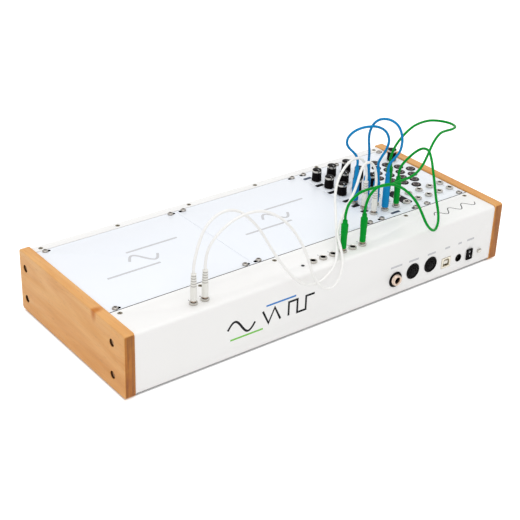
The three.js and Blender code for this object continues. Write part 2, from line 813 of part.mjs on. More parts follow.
function rearBoardPlate() {
  const low = rockerX - rearBoard.margin;
  const high = phoneX + rearBoard.margin;
  const width = high - low;
  const x = (high + low) / 2;
  const inset = 2 * standoff.radius;
  const postY = rearBoardY - rearBoard.depth / 2 + inset;
  const posts = boardPosts([low + inset, x, high - inset].map((u) => [u, postY]));
  return join([block(width, rearBoard.depth, board, x, rearBoardY, boardLevel + board / 2), ...posts]);
}

place("rear_board", rearBoardPlate(), 0x1d5a34, 0.5, 0.1);

const rearWall = rearFace - sheet - seat;
const boardTop = boardLevel + board + seat;

// A socket's moulded body behind the wall, from the board up past its axis
function socketBody(width, top, depth) {
  return block(width, depth, top - boardTop, 0, rearWall - depth / 2, (top + boardTop) / 2);
}

// Phone jack: a black flange in the wall, with a threaded snout and its ferrule
function phoneJack() {
  const back = rearWall - overrun;
  const body = socketBody(phone.width, phoneZ + phone.height / 2, phone.depth);
  const flangeLength = rearFace + phone.flangeProud - back;
  const flange = toRear(prism(ringPoints(phone.flange, roundSides), [], 0, flangeLength));
  const ferruleProfile = [
    [0, 0],
    [ferrule.radius, 0],
    [ferrule.radius, phone.rise - ferrule.bevel],
    [ferrule.rim, phone.rise],
    [0, phone.rise],
  ];
  const snout = toRear(turned(ferruleProfile, roundSides)).translate(0, rearFace, phoneZ);
  const boreLength = phone.depth + phone.rise;
  const bore = toRear(prism(ringPoints(phone.bore, roundSides), [], 0, boreLength + overrun));
  const bored = bore.translate(0, rearFace + phone.rise - boreLength, phoneZ);
  return cutEach(join([body, flange.translate(0, back, phoneZ), snout]), [bored]);
}

place("phone_jack", phoneJack(), 0x151515, 0.5, 0, [phoneX, 0, 0]);

// Five-pin sockets: a round face with the shell's ring round a core with five holes
function dinSocket() {
  const back = rearWall - overrun;
  const body = block(din.box, din.depth, din.box, 0, rearWall - din.depth / 2, 0);
  const mouth = rearFace + din.proud;
  const face = toRear(prism(ringPoints(din.face, roundSides), [], 0, mouth - back)).translate(0, back, 0);
  const ring = toRear(prism(
    ringPoints(din.ring, roundSides),
    [ringPoints(din.core, roundSides)],
    0,
    din.ringDepth + overrun,
  )).translate(0, mouth - din.ringDepth, 0);
  const pins = [];
  const pinCount = 5;
  const pinSides = 4;
  for (let i = 0; i < pinCount; i += 1) {
    const angle = (Math.PI * i) / (pinCount - 1);
    const hole = prism(ringPoints(din.pin, pinSides), [], 0, din.pinDepth + overrun);
    const x = din.pinCircle * Math.cos(angle);
    pins.push(toRear(hole).translate(x, mouth - din.pinDepth, din.pinCircle * Math.sin(angle)));
  }
  return cutEach(join([body, face]), [ring, group(pins)]);
}

place("midi_in_socket", dinSocket(), 0x141414, 0.5, 0, [dinXs[0], 0, dinZ]);
place("midi_out_socket", dinSocket(), 0x141414, 0.5, 0, [dinXs[1], 0, dinZ]);

// USB socket: a shell with two cut corners round a tongue
function usbSocket() {
  const front = rearFace + seat;
  const back = rearWall - usb.depth;
  const shell = block(usb.width, front - back, usb.height, 0, (front + back) / 2, 0);
  const w = usb.mouthWidth / 2;
  const h = usb.mouthHeight / 2;
  const mouth = [
    [-w, -h], [w, -h], [w, h - usb.chamfer], [w - usb.chamfer, h], [-w + usb.chamfer, h], [-w, h - usb.chamfer],
  ].map(([x, z]) => new THREE.Vector2(x, -z));
  const depth = front - back - usb.wall;
  const well = toRear(prism(mouth, [], 0, depth + overrun)).translate(0, back + usb.wall, 0);
  const tongueLength = depth - usb.tongueIn;
  const reach = tongueLength + usb.wall / 2;
  const tongue = block(usb.tongueWidth, reach, usb.tongueHeight, 0, back + (usb.wall + reach) / 2, 0);
  return join([cutEach(shell, [well]), tongue]);
}

place("usb_socket", usbSocket(), 0xd9cdb4, 0.4, 0.2, [usbX, 0, usbZ]);

// Power inlet: a round mouth with a centre pin
function dcInlet() {
  const back = rearWall - overrun;
  const body = block(dc.width, dc.depth, dc.height, 0, rearWall - dc.depth / 2, 0);
  const mouth = rearFace + dc.proud;
  const face = toRear(prism(ringPoints(dc.face, roundSides), [], 0, mouth - back)).translate(0, back, 0);
  const well = toRear(prism(
    ringPoints(dc.bore, roundSides),
    [ringPoints(dc.pin, roundSides)],
    0,
    dc.boreDepth + overrun,
  )).translate(0, mouth - dc.boreDepth, 0);
  return cutEach(join([body, face]), [well]);
}

place("dc_inlet", dcInlet(), 0x141414, 0.5, 0, [dcX, 0, dcZ]);

// Power switch: a framed housing, and a rocker that pivots in it
function switchHousing() {
  const bezel = toRear(prism(rectPoints(rocker.width, rocker.height), [], 0, rocker.proud))
    .translate(0, rearFace + seat, 0);
  const body = toRear(prism(rectPoints(rocker.bodyWidth, rocker.bodyHeight), [], 0, rocker.depth + overrun))
    .translate(0, rearFace + seat - rocker.depth, 0);
  const well = toRear(prism(rectPoints(rocker.wellWidth, rocker.wellHeight), [], 0, rocker.wellDepth + overrun))
    .translate(0, rearFace + seat + rocker.proud - rocker.wellDepth, 0);
  return cutEach(join([bezel, body]), [well]);
}

place("switch_housing", switchHousing(), 0x161616, 0.45, 0, [rockerX, 0, usbZ]);

const rockerPivot = rearFace + rocker.proud - rocker.wellDepth / 2;

// The rocker's outline in its own Y and Z, with its two faces meeting at a shallow angle
function rockerPiece() {
  const half = rocker.wellHeight / 2 - 2 * seat;
  const lean = Math.tan((rockerTilt * Math.PI) / 180) * half;
  const crown = rocker.wellDepth / 2 - seat;
  const outline = [
    [crown, 0],
    [crown + lean, half],
    [crown - rocker.skirt, half - rocker.taper],
    [-rocker.keel, rocker.keelHalf],
    [-rocker.keel, -rocker.keelHalf],
    [crown - rocker.skirt, rocker.taper - half],
    [crown + lean, -half],
  ].map(([y, z]) => new THREE.Vector2(y, z));
  const width = rocker.wellWidth - 2 * seat;
  return alongX(prism(outline, [], -width / 2, width / 2));
}

const rockerMesh = place("power_rocker", rockerPiece(), 0x1c1c1c, 0.35, 0, [rockerX, rockerPivot, usbZ]);
rockerMesh.rotation.x = (rockerTilt * Math.PI) / 180;

// Power bus board with shrouded headers, on posts
function busHeader(x) {
  const middle = boardLevel + board + header.height / 2;
  const shroud = block(header.width, header.depth, header.height, x, busBoard.y, middle);
  const well = block(
    header.width - 2 * header.wall,
    header.depth - 2 * header.wall,
    header.well + overrun,
    x,
    busBoard.y,
    boardLevel + board + header.height - header.well / 2 + overrun / 2,
  );
  return cut(shroud, [well]);
}

function powerBusBoard() {
  const headers = Array.from(
    { length: header.count },
    (_, i) => busHeader(busBoard.x + (i - (header.count - 1) / 2) * header.pitch),
  );
  const inset = 2 * standoff.radius;
  const places = [-1, 1].flatMap((u) => [-1, 1].map((v) => [
    busBoard.x + u * (busBoard.width / 2 - inset),
    busBoard.y + v * (busBoard.depth / 2 - inset),
  ]));
  const plate = block(busBoard.width, busBoard.depth, board, busBoard.x, busBoard.y, boardLevel + board / 2);
  return join([plate, ...headers, ...boardPosts(places)]);
}

place("power_bus_board", powerBusBoard(), 0x1d5a34, 0.5, 0.1);

// Feet: rubber discs that narrow a little towards the table
function rubberFoot() {
  const high = caseFloor - seat;
  const profile = [[0, 0], [foot.top, 0], [foot.radius, foot.flare], [foot.radius, high], [0, high]];
  return turned(profile, footSides);
}

const footX = caseEnd - foot.endInset;
for (const [row, y] of [["front", frontFace + foot.faceInset], ["rear", rearFace - foot.faceInset]]) {
  place(`${row}_left_foot`, rubberFoot(), 0x202020, 0.9, 0, [-footX, y, 0]);
  place(`${row}_right_foot`, rubberFoot(), 0x202020, 0.9, 0, [footX, y, 0]);
}

// Patch cords: each list holds the points its centreline runs through, above the panels
const plugFoot = panelTop + 2 * seat + jackNut.height;

const whiteBootProfile = [[whiteBoot.radius, whiteBoot.low]];
for (let i = 0; i < whiteBoot.ribs; i += 1) {
  const low = whiteBoot.firstRib + i * whiteBoot.ribPitch;
  whiteBootProfile.push([whiteBoot.radius, low]);
  whiteBootProfile.push([whiteBoot.radius - whiteBoot.ribDepth, low + whiteBoot.ribPitch / 2]);
}
whiteBootProfile.push([whiteBoot.top, whiteBoot.height]);

// A plug: a metal pin with a turned tip, a collar on the jack's nut, and a moulded boot
function plugSolid(boot) {
  const profile = [
    [0, -plugPin.length],
    [plugPin.tip, -plugPin.length],
    [plugPin.radius, plugPin.tipLength - plugPin.length],
    [plugPin.radius, 0],
    [collar.radius, 0],
    [collar.radius, collar.height],
    ...boot,
    [0, boot[boot.length - 1][1]],
  ];
  return turned(profile, plugSides);
}

const cordSets = [
  {
    name: "green_cord_1",
    color: 0x0a8f2c,
    boot: greenBoot,
    ends: [cvJacks[5], voiceJacks[2]],
    route: [
      [-50, 78, 50], [-58, 79, 57], [-70, 81, 58], [-83, 83, 53], [-92, 85, 46], [-98, 88, 39],
      [-102, 92, 31], [-107, 100, 14], [-113, 101, 7], [-123, 97, 3], [-132, 91, 6], [-136, 86, 13],
      [-136, 81, 27], [-134, 78, 45], [-135, 74, 54], [-139, 67, 61], [-145, 56, 65], [-147, 46, 63],
      [-144, 39, 57], [-132, 35, 45],
    ],
  },
  {
    name: "green_cord_2",
    color: 0x0a8f2c,
    boot: greenBoot,
    ends: [cvJacks[3], voiceJacks[11]],
    route: [
      [-26, 77, 48], [-38, 76, 55], [-60, 73, 54], [-71, 71, 52], [-83, 68, 49], [-94, 65, 47],
      [-103, 63, 46], [-121, 60, 45], [-133, 57, 47], [-142, 54, 51], [-153, 49, 58], [-161, 45, 63],
      [-170, 41, 67], [-181, 37, 69], [-201, 33, 67], [-214, 24, 64], [-217, 13, 63], [-213, 4, 63],
      [-203, -1, 64], [-179, 3, 66], [-168, 5, 64], [-158, 6, 59], [-149, 6, 50],
    ],
  },
  {
    name: "blue_cord_1",
    color: 0x1c7cc0,
    boot: blueBoot,
    ends: [voiceJacks[8], voiceJacks[5]],
    route: [
      [-97, 5, 53], [-89, 3, 62], [-86, 3, 67], [-85, 5, 74], [-88, 9, 81], [-94, 13, 85],
      [-101, 16, 86], [-109, 18, 85], [-117, 20, 81], [-121, 22, 76], [-122, 24, 69], [-119, 24, 60],
      [-116, 22, 53],
    ],
  },
  {
    name: "blue_cord_2",
    color: 0x1c7cc0,
    boot: blueBoot,
    ends: [voiceJacks[1], voiceJacks[9]],
    route: [
      [-116, 35, 51], [-122, 38, 60], [-124, 39, 65], [-125, 39, 75], [-124, 36, 85], [-122, 32, 90],
      [-118, 26, 93], [-113, 19, 92], [-110, 14, 87], [-109, 10, 78], [-110, 8, 69], [-112, 7, 60],
      [-114, 6, 51],
    ],
  },
  {
    name: "white_cord_1",
    color: 0xe9e7e0,
    boot: whiteBootProfile,
    ends: [outputJacks[0], voiceJacks[4]],
    route: [
      [144, 77, 46], [134, 74, 65], [123, 73, 74], [110, 73, 77], [97, 74, 73], [82, 77, 58],
      [76, 79, 49], [70, 82, 37], [65, 85, 27], [54, 92, 8], [43, 95, -4], [32, 97, -9],
      [20, 98, -8], [5, 96, 0], [-7, 86, 6], [-16, 75, 9], [-22, 67, 14], [-32, 53, 28],
      [-39, 43, 37], [-46, 36, 44], [-57, 29, 52], [-74, 23, 59], [-87, 21, 58], [-96, 20, 50],
    ],
  },
  {
    name: "white_cord_2",
    color: 0xe9e7e0,
    boot: whiteBootProfile,
    ends: [outputJacks[1], voiceJacks[0]],
    route: [
      [132, 78, 48], [125, 79, 59], [113, 80, 68], [99, 80, 72], [84, 80, 72], [73, 81, 69],
      [59, 84, 60], [50, 87, 50], [44, 90, 40], [40, 93, 31], [37, 96, 21], [32, 101, 1],
      [23, 103, -12], [13, 103, -16], [3, 101, -13], [-7, 95, 0], [-13, 84, 10], [-18, 74, 16],
      [-26, 66, 22], [-38, 59, 30], [-48, 54, 36], [-56, 50, 41], [-63, 46, 46], [-78, 37, 58],
      [-89, 34, 58], [-97, 33, 50],
    ],
  },
];

function cordTube(set) {
  const leave = plugFoot + set.boot[set.boot.length - 1][1] + seat;
  const [from, to] = set.ends.map(([x, y]) => new THREE.Vector3(x, y, leave));
  const [fromLead, toLead] = [from, to].map((point) => point.clone().setZ(leave + cordLead));
  const between = set.route.map(([x, y, z]) => new THREE.Vector3(x, y, panelTop + z));
  const path = new THREE.CatmullRomCurve3([from, fromLead, ...between, toLead, to]);
  const steps = Math.round(path.getLength() / cordStep);
  const section = new THREE.Shape(ringPoints(cordRadius, cordSides));
  return new THREE.ExtrudeGeometry(section, { steps, extrudePath: path, bevelEnabled: false });
}

for (const set of cordSets) {
  set.ends.forEach(([x, y], i) => {
    place(`${set.name}_plug_${i + 1}`, plugSolid(set.boot), set.color, 0.45, 0, [x, y, plugFoot]);
  });
  place(set.name, cordTube(set), set.color, 0.5, 0);
}

// The snout of the phone jack reaches past the rear cheek line, so the middle lies a little behind
model.position.y = -(phone.rise - cheekProud) / 2;

export default model;
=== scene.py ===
# A desktop modular synthesizer: a white folded case between wooden cheeks, one row of panels with
# jacks, knobs and touch pads, sockets on the rear wall, and six patch cords.
# Places are worked out in millimetres, in the row's own frame, and turned to metres in each mesh.
import math

import bmesh
import bpy
import numpy as np
from mathutils.geometry import tessellate_polygon
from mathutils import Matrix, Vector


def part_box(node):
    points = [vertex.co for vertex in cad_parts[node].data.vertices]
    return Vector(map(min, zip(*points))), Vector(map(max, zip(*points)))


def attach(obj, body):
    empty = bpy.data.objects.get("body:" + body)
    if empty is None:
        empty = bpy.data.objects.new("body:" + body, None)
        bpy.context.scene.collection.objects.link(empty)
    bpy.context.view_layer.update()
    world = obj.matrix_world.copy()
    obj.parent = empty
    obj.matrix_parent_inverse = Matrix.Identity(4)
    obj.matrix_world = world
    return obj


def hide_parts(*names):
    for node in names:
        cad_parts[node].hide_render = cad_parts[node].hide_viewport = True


mm = 0.001
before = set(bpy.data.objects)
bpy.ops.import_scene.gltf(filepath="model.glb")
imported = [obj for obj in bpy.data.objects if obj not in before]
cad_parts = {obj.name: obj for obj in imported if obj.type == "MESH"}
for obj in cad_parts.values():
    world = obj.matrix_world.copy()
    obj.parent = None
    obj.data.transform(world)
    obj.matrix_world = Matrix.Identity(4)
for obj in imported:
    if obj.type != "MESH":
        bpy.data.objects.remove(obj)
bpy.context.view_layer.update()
# the lowest and highest corner of each CAD part
boxes = {name: np.array(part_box(name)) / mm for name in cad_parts}
# the row lies a little forward of the middle
rowShift = np.array([0, boxes["left_cheek"][:, 1].mean(), 0])
rowCentred = tuple((-rowShift * mm).tolist())
print("frame loaded")


# The middle of a CAD part, in the row's frame.
def middleOf(name):
    return boxes[name].mean(axis=0)[:2] - rowShift[:2]


# Camera, floor and light

cameraPlace = {"location": (0.6514, 0.8059, 0.5934), "turn": (61.254, -1.843, 142.74), "lens": 83.503,
               "sensor": 36}
# floor is half the paper's width; the last two are half the patch under the case where the glow is cut,
# painted shade along the case's foot, in metres
studio = {"floor": 3.2, "sky": 0.66, "glow": 0.56, "paintedShadeX": 0.2234, "paintedShadeY": 0.0885}
# place, turn in degrees, width and power
lamps = {
    "top_light": ((0.1, 0.2, 1.6), (0, 0, 0), 1.8, 10.5),
    "side_light": ((1.1, 1.3, 0.7), (70, 0, 142), 1.2, 3.0),
}


# An sRGB hex value as linear light.
def linear(text):
    value = np.array([int(text[i:i + 2], 16) for i in (1, 3, 5)]) / 255
    return (*np.where(value <= 0.04045, value / 12.92, ((value + 0.055) / 1.055) ** 2.4), 1.0)


# Each input is a constant, a socket, or a node whose first output it takes.
def addNode(tree, kind, inputs=None, **settings):
    node = tree.nodes.new("ShaderNode" + kind)
    for name, value in settings.items():
        setattr(node, name, value)
    for socket, value in (inputs or {}).items():
        source = value.outputs[0] if isinstance(value, bpy.types.Node) else value
        if isinstance(source, bpy.types.NodeSocket):
            tree.links.new(source, node.inputs[socket])
        else:
            node.inputs[socket].default_value = source
    return node


def addObject(name, data):
    item = bpy.data.objects.new(name, data)
    bpy.context.scene.collection.objects.link(item)
    return item


def makeCamera():
    data = bpy.data.cameras.new("camera")
    data.lens = cameraPlace["lens"]
    data.sensor_width = cameraPlace["sensor"]
    camera = addObject("camera", data)
    camera.location = cameraPlace["location"]
    camera.rotation_euler = [math.radians(turn) for turn in cameraPlace["turn"]]
    bpy.context.scene.camera = camera


# 1 where a ray comes from the camera, a mirror or glass, 0 where it carries soft light.
def plainRays(tree):
    path = addNode(tree, "LightPath").outputs
    mirror = addNode(tree, "Math", {0: path["Is Glossy Ray"], 1: path["Is Transmission Ray"]},
                     operation="MAXIMUM")
    return addNode(tree, "Math", {0: path["Is Camera Ray"], 1: mirror}, operation="MAXIMUM")


# How far a point lies from the middle of the row along X or Y.
def distanceAlong(tree, axis):
    place = addNode(tree, "TexCoord").outputs["Object"]
    centred = addNode(tree, "Mapping", {"Vector": place, "Location": rowCentred})
    axes = addNode(tree, "SeparateXYZ", {0: centred})
    return addNode(tree, "Math", {0: axes.outputs[axis]}, operation="ABSOLUTE")


def makeSky():
    world = bpy.data.worlds.new("studio")
    bpy.context.scene.world = world
    world.use_nodes = True
    tree = world.node_tree
    tree.nodes.clear()
    soft, plain = [addNode(tree, "Background", {"Color": linear("#ffffff"), "Strength": strength})
                   for strength in (studio["sky"], 1.0)]
    mixed = addNode(tree, "MixShader", {0: plainRays(tree), 1: soft, 2: plain})
    addNode(tree, "OutputWorld", {"Surface": mixed})


# White sweep paper, evenly lit by its glow, which is cut in a patch under the case: painted shade that
# darkens the line along the case's foot.
def sweepPaper():
    material = bpy.data.materials.new("white_sweep_paper")
    material.use_nodes = True
    tree = material.node_tree
    tree.nodes.clear()
    paper = addNode(tree, "BsdfDiffuse", {"Color": linear("#f2f2f2")})
    # each is 0 under the case and 1 past its edge; where both are 0 the glow is cut, painted shade
    pastShadeEdge = [addNode(tree, "MapRange", {0: distanceAlong(tree, axis), "From Min": limit - mm,
                                         "From Max": limit + mm})
              for axis, limit in enumerate((studio["paintedShadeX"], studio["paintedShadeY"]))]
    outsideShade = addNode(tree, "Math", {0: pastShadeEdge[0], 1: pastShadeEdge[1]}, operation="MAXIMUM")
    strength = addNode(tree, "Math", {0: outsideShade, 1: studio["glow"]}, operation="MULTIPLY")
    glow = addNode(tree, "Emission", {"Color": linear("#ffffff"), "Strength": strength})
    both = addNode(tree, "AddShader", {0: paper, 1: glow})
    shown = addNode(tree, "MixShader", {0: plainRays(tree), 1: paper, 2: both})
    addNode(tree, "OutputMaterial", {"Surface": shown})
    return material


def makeStudio():
    half = studio["floor"]
    mesh = bpy.data.meshes.new("floor")
    corners = [(-half, -half, 0), (half, -half, 0), (half, half, 0), (-half, half, 0)]
    mesh.from_pydata(corners, [], [(0, 1, 2, 3)])
    mesh.materials.append(sweepPaper())
    floor = addObject("floor", mesh)
    for name, (place, turn, width, power) in lamps.items():
        lamp = bpy.data.lights.new(name, "AREA")
        lamp.shape = "DISK"
        lamp.size = width
        lamp.energy = power
        light = addObject(name, lamp)
        light.location = place
        light.rotation_euler = [math.radians(angle) for angle in turn]


bpy.context.scene.view_settings.view_transform = "Standard"
makeCamera()
makeSky()
makeStudio()
print("camera, floor and lights made")


# Materials: each is the real finish, with its pattern sized in millimetres

# A principled shader with plain constants, ready for its patterns.
def plainFinish(name, colour, rough, **constants):
    material = bpy.data.materials.new(name)
    material.use_nodes = True
    tree = material.node_tree
    inputs = tree.nodes["Principled BSDF"].inputs
    inputs["Base Color"].default_value = linear(colour)
    inputs["Roughness"].default_value = rough
    for socket, value in constants.items():
        inputs[socket.replace("_", " ")].default_value = value
    return material, tree, inputs, addNode(tree, "TexCoord").outputs["Object"]


# Roughness between two values, and a relief of some depth.
def roughAndRelief(tree, inputs, roughPattern, rough, reliefPattern, depth, strength=0.6):
    roughness = addNode(tree, "MapRange", {0: roughPattern, "To Min": rough[0], "To Max": rough[1]})
    tree.links.new(roughness.outputs[0], inputs["Roughness"])
    bump = addNode(tree, "Bump", {"Height": reliefPattern, "Strength": strength, "Distance": depth * mm})
    tree.links.new(bump.outputs[0], inputs["Normal"])


# A finish whose colour and roughness wander from patch to patch, over a fine relief.
# Patch and grain are in millimetres, and longer along an axis whose stretch is small.
def newFinish(name, dark, light, rough, patch, grain, depth, stretch=(1, 1, 1), **constants):
    material, tree, inputs, place = plainFinish(name, light, rough[0], **constants)
    spread = addNode(tree, "Mapping", {"Vector": place, "Scale": stretch})
    patches, fine = [addNode(tree, "TexNoise", {"Vector": spread, "Scale": 1 / (size * mm), "Detail": detail})
                     for size, detail in ((patch, 3.0), (grain, 2.0))]
    colour = addNode(tree, "Mix", {0: patches, 6: linear(dark), 7: linear(light)}, data_type="RGBA")
    tree.links.new(colour.outputs[2], inputs["Base Color"])
    roughAndRelief(tree, inputs, patches, rough, fine, depth)
    return material


# Bare or plated metal: its grain is drawn coarser than the real one, so that it shows.
def brightMetal(name, dark, light, rough, grain=0.6, stretch=(1, 1, 1)):
    return newFinish(name, dark, light, rough, grain, grain, 0.004, stretch, Metallic=1.0)


# Plastic, rubber or ink: a grain drawn coarser than the real one, and patches eight grains wide.
def mouldedPlastic(name, dark, light, rough=(0.5, 0.62), grain=0.5, depth=0.01, sheen=0.5):
    return newFinish(name, dark, light, rough, grain * 8, grain, depth, IOR=1.5, Specular_IOR_Level=sheen)


# a dark stroke by the top edge of the right cheek, which fades over 5 mm along Y and 12 mm down
knot = {"place": (0.2225, 0.0405, 0.0635), "scale": (100, 180, 85), "strength": 1.45, "colour": "#c67418"}
# the board's ends, in metres from the row's middle
endGrain = {"from": 0.0911, "to": 0.0916, "dark": "#a6883a", "light": "#caaa52"}
# the wood's patterns: grain in millimetres, stretch, detail and distortion
woodGrain = {
    # growth bands about 7 mm wide, pulled out along Y
    "band": (16, (1, 0.16, 1), 2.0, 1.1),
    # fibres about 0.5 mm wide
    "fibre": (0.9, (1, 0.03, 1), 5.0, 0.0),
    # thin pores 3 to 6 mm long
    "pore": (0.55, (1, 0.08, 1), 1.0, 0.0),
    # upright streaks about 2 mm wide on the end grain
    "streak": (3, (1, 0, 0.06), 2.0, 0.0),
}


def oiledAlder():
    # oiled alder: long fine grain along the cheek, soft growth bands, short darker pores
    material, tree, inputs, place = plainFinish("oiled_alder", "#d29a5e", 0.5, IOR=1.5)
    noise = {}
    for name, (grain, stretch, detail, distortion) in woodGrain.items():
        spread = addNode(tree, "Mapping", {"Vector": place, "Scale": stretch})
        noise[name] = addNode(tree, "TexNoise", {"Vector": spread, "Scale": 1 / (grain * mm),
                                                 "Detail": detail, "Distortion": distortion})
    ramp = addNode(tree, "ValToRGB", {0: noise["band"]})
    for stop, position, colour in zip(ramp.color_ramp.elements, (0.3, 0.72), ("#d9964b", "#ebb36f")):
        stop.position = position
        stop.color = linear(colour)
    ramp.color_ramp.elements.new(0.5).color = linear("#e3a45c")
    fine = addNode(tree, "MapRange", {0: noise["fibre"], "From Min": 0.3, "From Max": 0.7, "To Min": 0.94,
                                      "To Max": 1.04})
    lit = addNode(tree, "Mix", {0: 1.0, 6: ramp, 7: fine}, data_type="RGBA", blend_type="MULTIPLY")
    poreEdge = addNode(tree, "MapRange", {0: noise["pore"], "From Min": 0.66, "From Max": 0.8, "To Max": 0.7})
    dark = addNode(tree, "Mix", {0: poreEdge, 6: lit.outputs[2], 7: linear("#b87c42")}, data_type="RGBA")
    # the knot
    corner = tuple(-a * b for a, b in zip(knot["place"], knot["scale"]))
    near = addNode(tree, "Mapping", {"Vector": place, "Location": corner, "Scale": knot["scale"]})
    blot = addNode(tree, "TexGradient", {"Vector": near}, gradient_type="SPHERICAL")
    stain = addNode(tree, "Math", {0: blot.outputs["Fac"], 1: knot["strength"]}, operation="MULTIPLY")
    knotted = addNode(tree, "Mix", {0: stain, 6: dark.outputs[2], 7: linear(knot["colour"])},
                      data_type="RGBA")
    # end grain: darker in the last millimetre at each end of the board
    ends = addNode(tree, "MapRange", {0: distanceAlong(tree, 1), "From Min": endGrain["from"],
                                      "From Max": endGrain["to"]})
    streakEdge = addNode(tree, "MapRange", {0: noise["streak"], "From Min": 0.38, "From Max": 0.62})
    tint = addNode(tree, "Mix", {0: streakEdge, 6: linear(endGrain["dark"]), 7: linear(endGrain["light"])},
                   data_type="RGBA")
    soaked = addNode(tree, "Mix", {0: ends, 6: knotted.outputs[2], 7: tint.outputs[2]}, data_type="RGBA",
                     blend_type="MULTIPLY")
    tree.links.new(soaked.outputs[2], inputs["Base Color"])
    roughAndRelief(tree, inputs, noise["fibre"], (0.42, 0.62), noise["fibre"], 0.04, 0.5)
    return material


finishes = {
    # white powder coat on folded steel: a soft sheen with a slight orange peel, about 0.9 mm across
    "casePaint": newFinish("white_powder_coat", "#f7f6f4", "#fbfaf9", (0.36, 0.46), 60, 0.9, 0.02, IOR=1.5),
    # white satin lacquer on aluminium panels: cooler and smoother than the case
    "panelPaint": newFinish("white_satin_lacquer", "#f2f6fd", "#f7faff", (0.28, 0.38), 45, 0.6, 0.006,
                            IOR=1.5),
    "wood": oiledAlder(),
    # nickel-plated brass of the jack nuts and the lead hook, turned bright; also the knobs' bands, a painted
    # highlight
    "nickel": brightMetal("bright_nickel_plate", "#b5b1aa", "#d6d3cd", (0.16, 0.3)),
    # copper showing warm through the worn nickel of the plugs and the large jack's ferrule
    "warmNickel": brightMetal("warm_nickel_plate", "#b09a88", "#dbcabc", (0.2, 0.36)),
    # zinc-plated steel of the brackets, the panel screws and the pots
    "zinc": brightMetal("zinc_plated_steel", "#948f8a", "#bdb8b2", (0.2, 0.38)),
    # black oxide on the threaded strips and the round sockets' shells
    "blackOxide": brightMetal("black_oxide_steel", "#1c1b1a", "#2c2a29", (0.3, 0.5)),
    # dull grey zinc on the small screws of the strips
    "screwGrey": brightMetal("dull_zinc_steel", "#8a8274", "#b0a898", (0.3, 0.46)),
    # steel of the screws in the cheeks, tinted light brown: a painted reflection of the wood round them
    "screwWoodReflection": brightMetal("steel_painted_wood_reflection", "#b8926c", "#dcb793", (0.4, 0.6)),
    # brushed extrusion, drawn lines along the rail
    "railMetal": brightMetal("drawn_aluminium", "#b4b7ba", "#cfd2d4", (0.26, 0.42), 0.5, (0.04, 1, 1)),
    # warm nickel shell of the USB socket
    "usbShell": brightMetal("warm_nickel_shell", "#c4bcab", "#e0dacc", (0.26, 0.4)),
    # satin ABS of the knobs, deep black with hardly a glint
    "knobBlack": mouldedPlastic("satin_black_abs", "#070405", "#0d090b", (0.34, 0.46), sheen=0.06),
    # glass-filled nylon of the sockets
    "socketBlack": mouldedPlastic("moulded_black_nylon", "#060505", "#0c0a0a", (0.42, 0.56), sheen=0.05),
    # soft moulded rubber feet; the same dark rubber makes the strips that paint shade in the seams
    "rubber": mouldedPlastic("black_rubber", "#191919", "#272727", (0.7, 0.86), 0.8, 0.03),
    # green solder mask over glass cloth
    "solderMask": mouldedPlastic("green_solder_mask", "#134d2a", "#1d6a3b", (0.28, 0.4), 0.7),
    # cream thermoplastic of the USB tongue
    "ivory": mouldedPlastic("ivory_thermoplastic", "#f6f0e4", "#fbf8f0", (0.36, 0.5)),
    # dark brown wall of the recesses in the cheeks: painted shade in the deep recesses
    "recessShadeBrown": mouldedPlastic("painted_recess_shade", "#3d2614", "#56371e", (0.6, 0.75), sheen=0.1),
    # printed inks, screened flat
    "inkWhite": mouldedPlastic("white_pad_ink", "#d9dadb", "#e6e7e8"),
    "inkRose": mouldedPlastic("rose_grey_ring_ink", "#8d7f7c", "#a59693", (0.4, 0.55)),
    "inkBlack": mouldedPlastic("black_screen_ink", "#0b0b0f", "#15151b", sheen=0.12),
    "inkGrey": mouldedPlastic("grey_screen_ink", "#a2a5a9", "#b3b6ba"),
    "inkPale": mouldedPlastic("pale_grey_screen_ink", "#c8c8cb", "#d2d2d5"),
    "inkSlate": mouldedPlastic("slate_screen_ink", "#364256", "#445067", sheen=0.2),
    "inkBlue": mouldedPlastic("blue_screen_ink", "#2573bd", "#3384cf"),
    "inkGreen": mouldedPlastic("green_screen_ink", "#6cbf3c", "#7fd04c"),
    # carbon-filled touch pads
    "padCarbon": mouldedPlastic("carbon_touch_ink", "#0f0b0c", "#181315", (0.34, 0.46), sheen=0.15),
    # soft PVC of the cords and their boots
    "cordGreen": mouldedPlastic("green_soft_pvc", "#008a28", "#02a034", (0.34, 0.46), sheen=0.06),
    "cordBlue": mouldedPlastic("blue_soft_pvc", "#0c80bb", "#128ccb", (0.34, 0.46), sheen=0.08),
    "cordWhite": mouldedPlastic("white_soft_pvc", "#f4f3f0", "#fbfaf8", (0.34, 0.46), sheen=0.4),
    # the white boots, a shade greyer than their cords: painted shade for the grey along their sides
    "gripWhiteShaded": mouldedPlastic("white_boot_pvc_painted_shade", "#eae9e3", "#f1f0ea", (0.34, 0.46), sheen=0.4),
    # grey core that shows between the ribs of the white boots: painted shade in the grooves
    "ribShadeGrey": mouldedPlastic("painted_rib_shade", "#bbb8b3", "#c6c3be"),
    # smoked epoxy of the lamp, unlit
    "lens": mouldedPlastic("smoked_lamp_epoxy", "#1c1c20", "#2a2a2f", (0.1, 0.2)),
}
print("materials made")


# Mesh helpers: a part is a pair of points, in millimetres, and faces

# smooth is in degrees: sharper edges stay sharp
meshValues = {"merge": 0.0005, "smooth": 35}


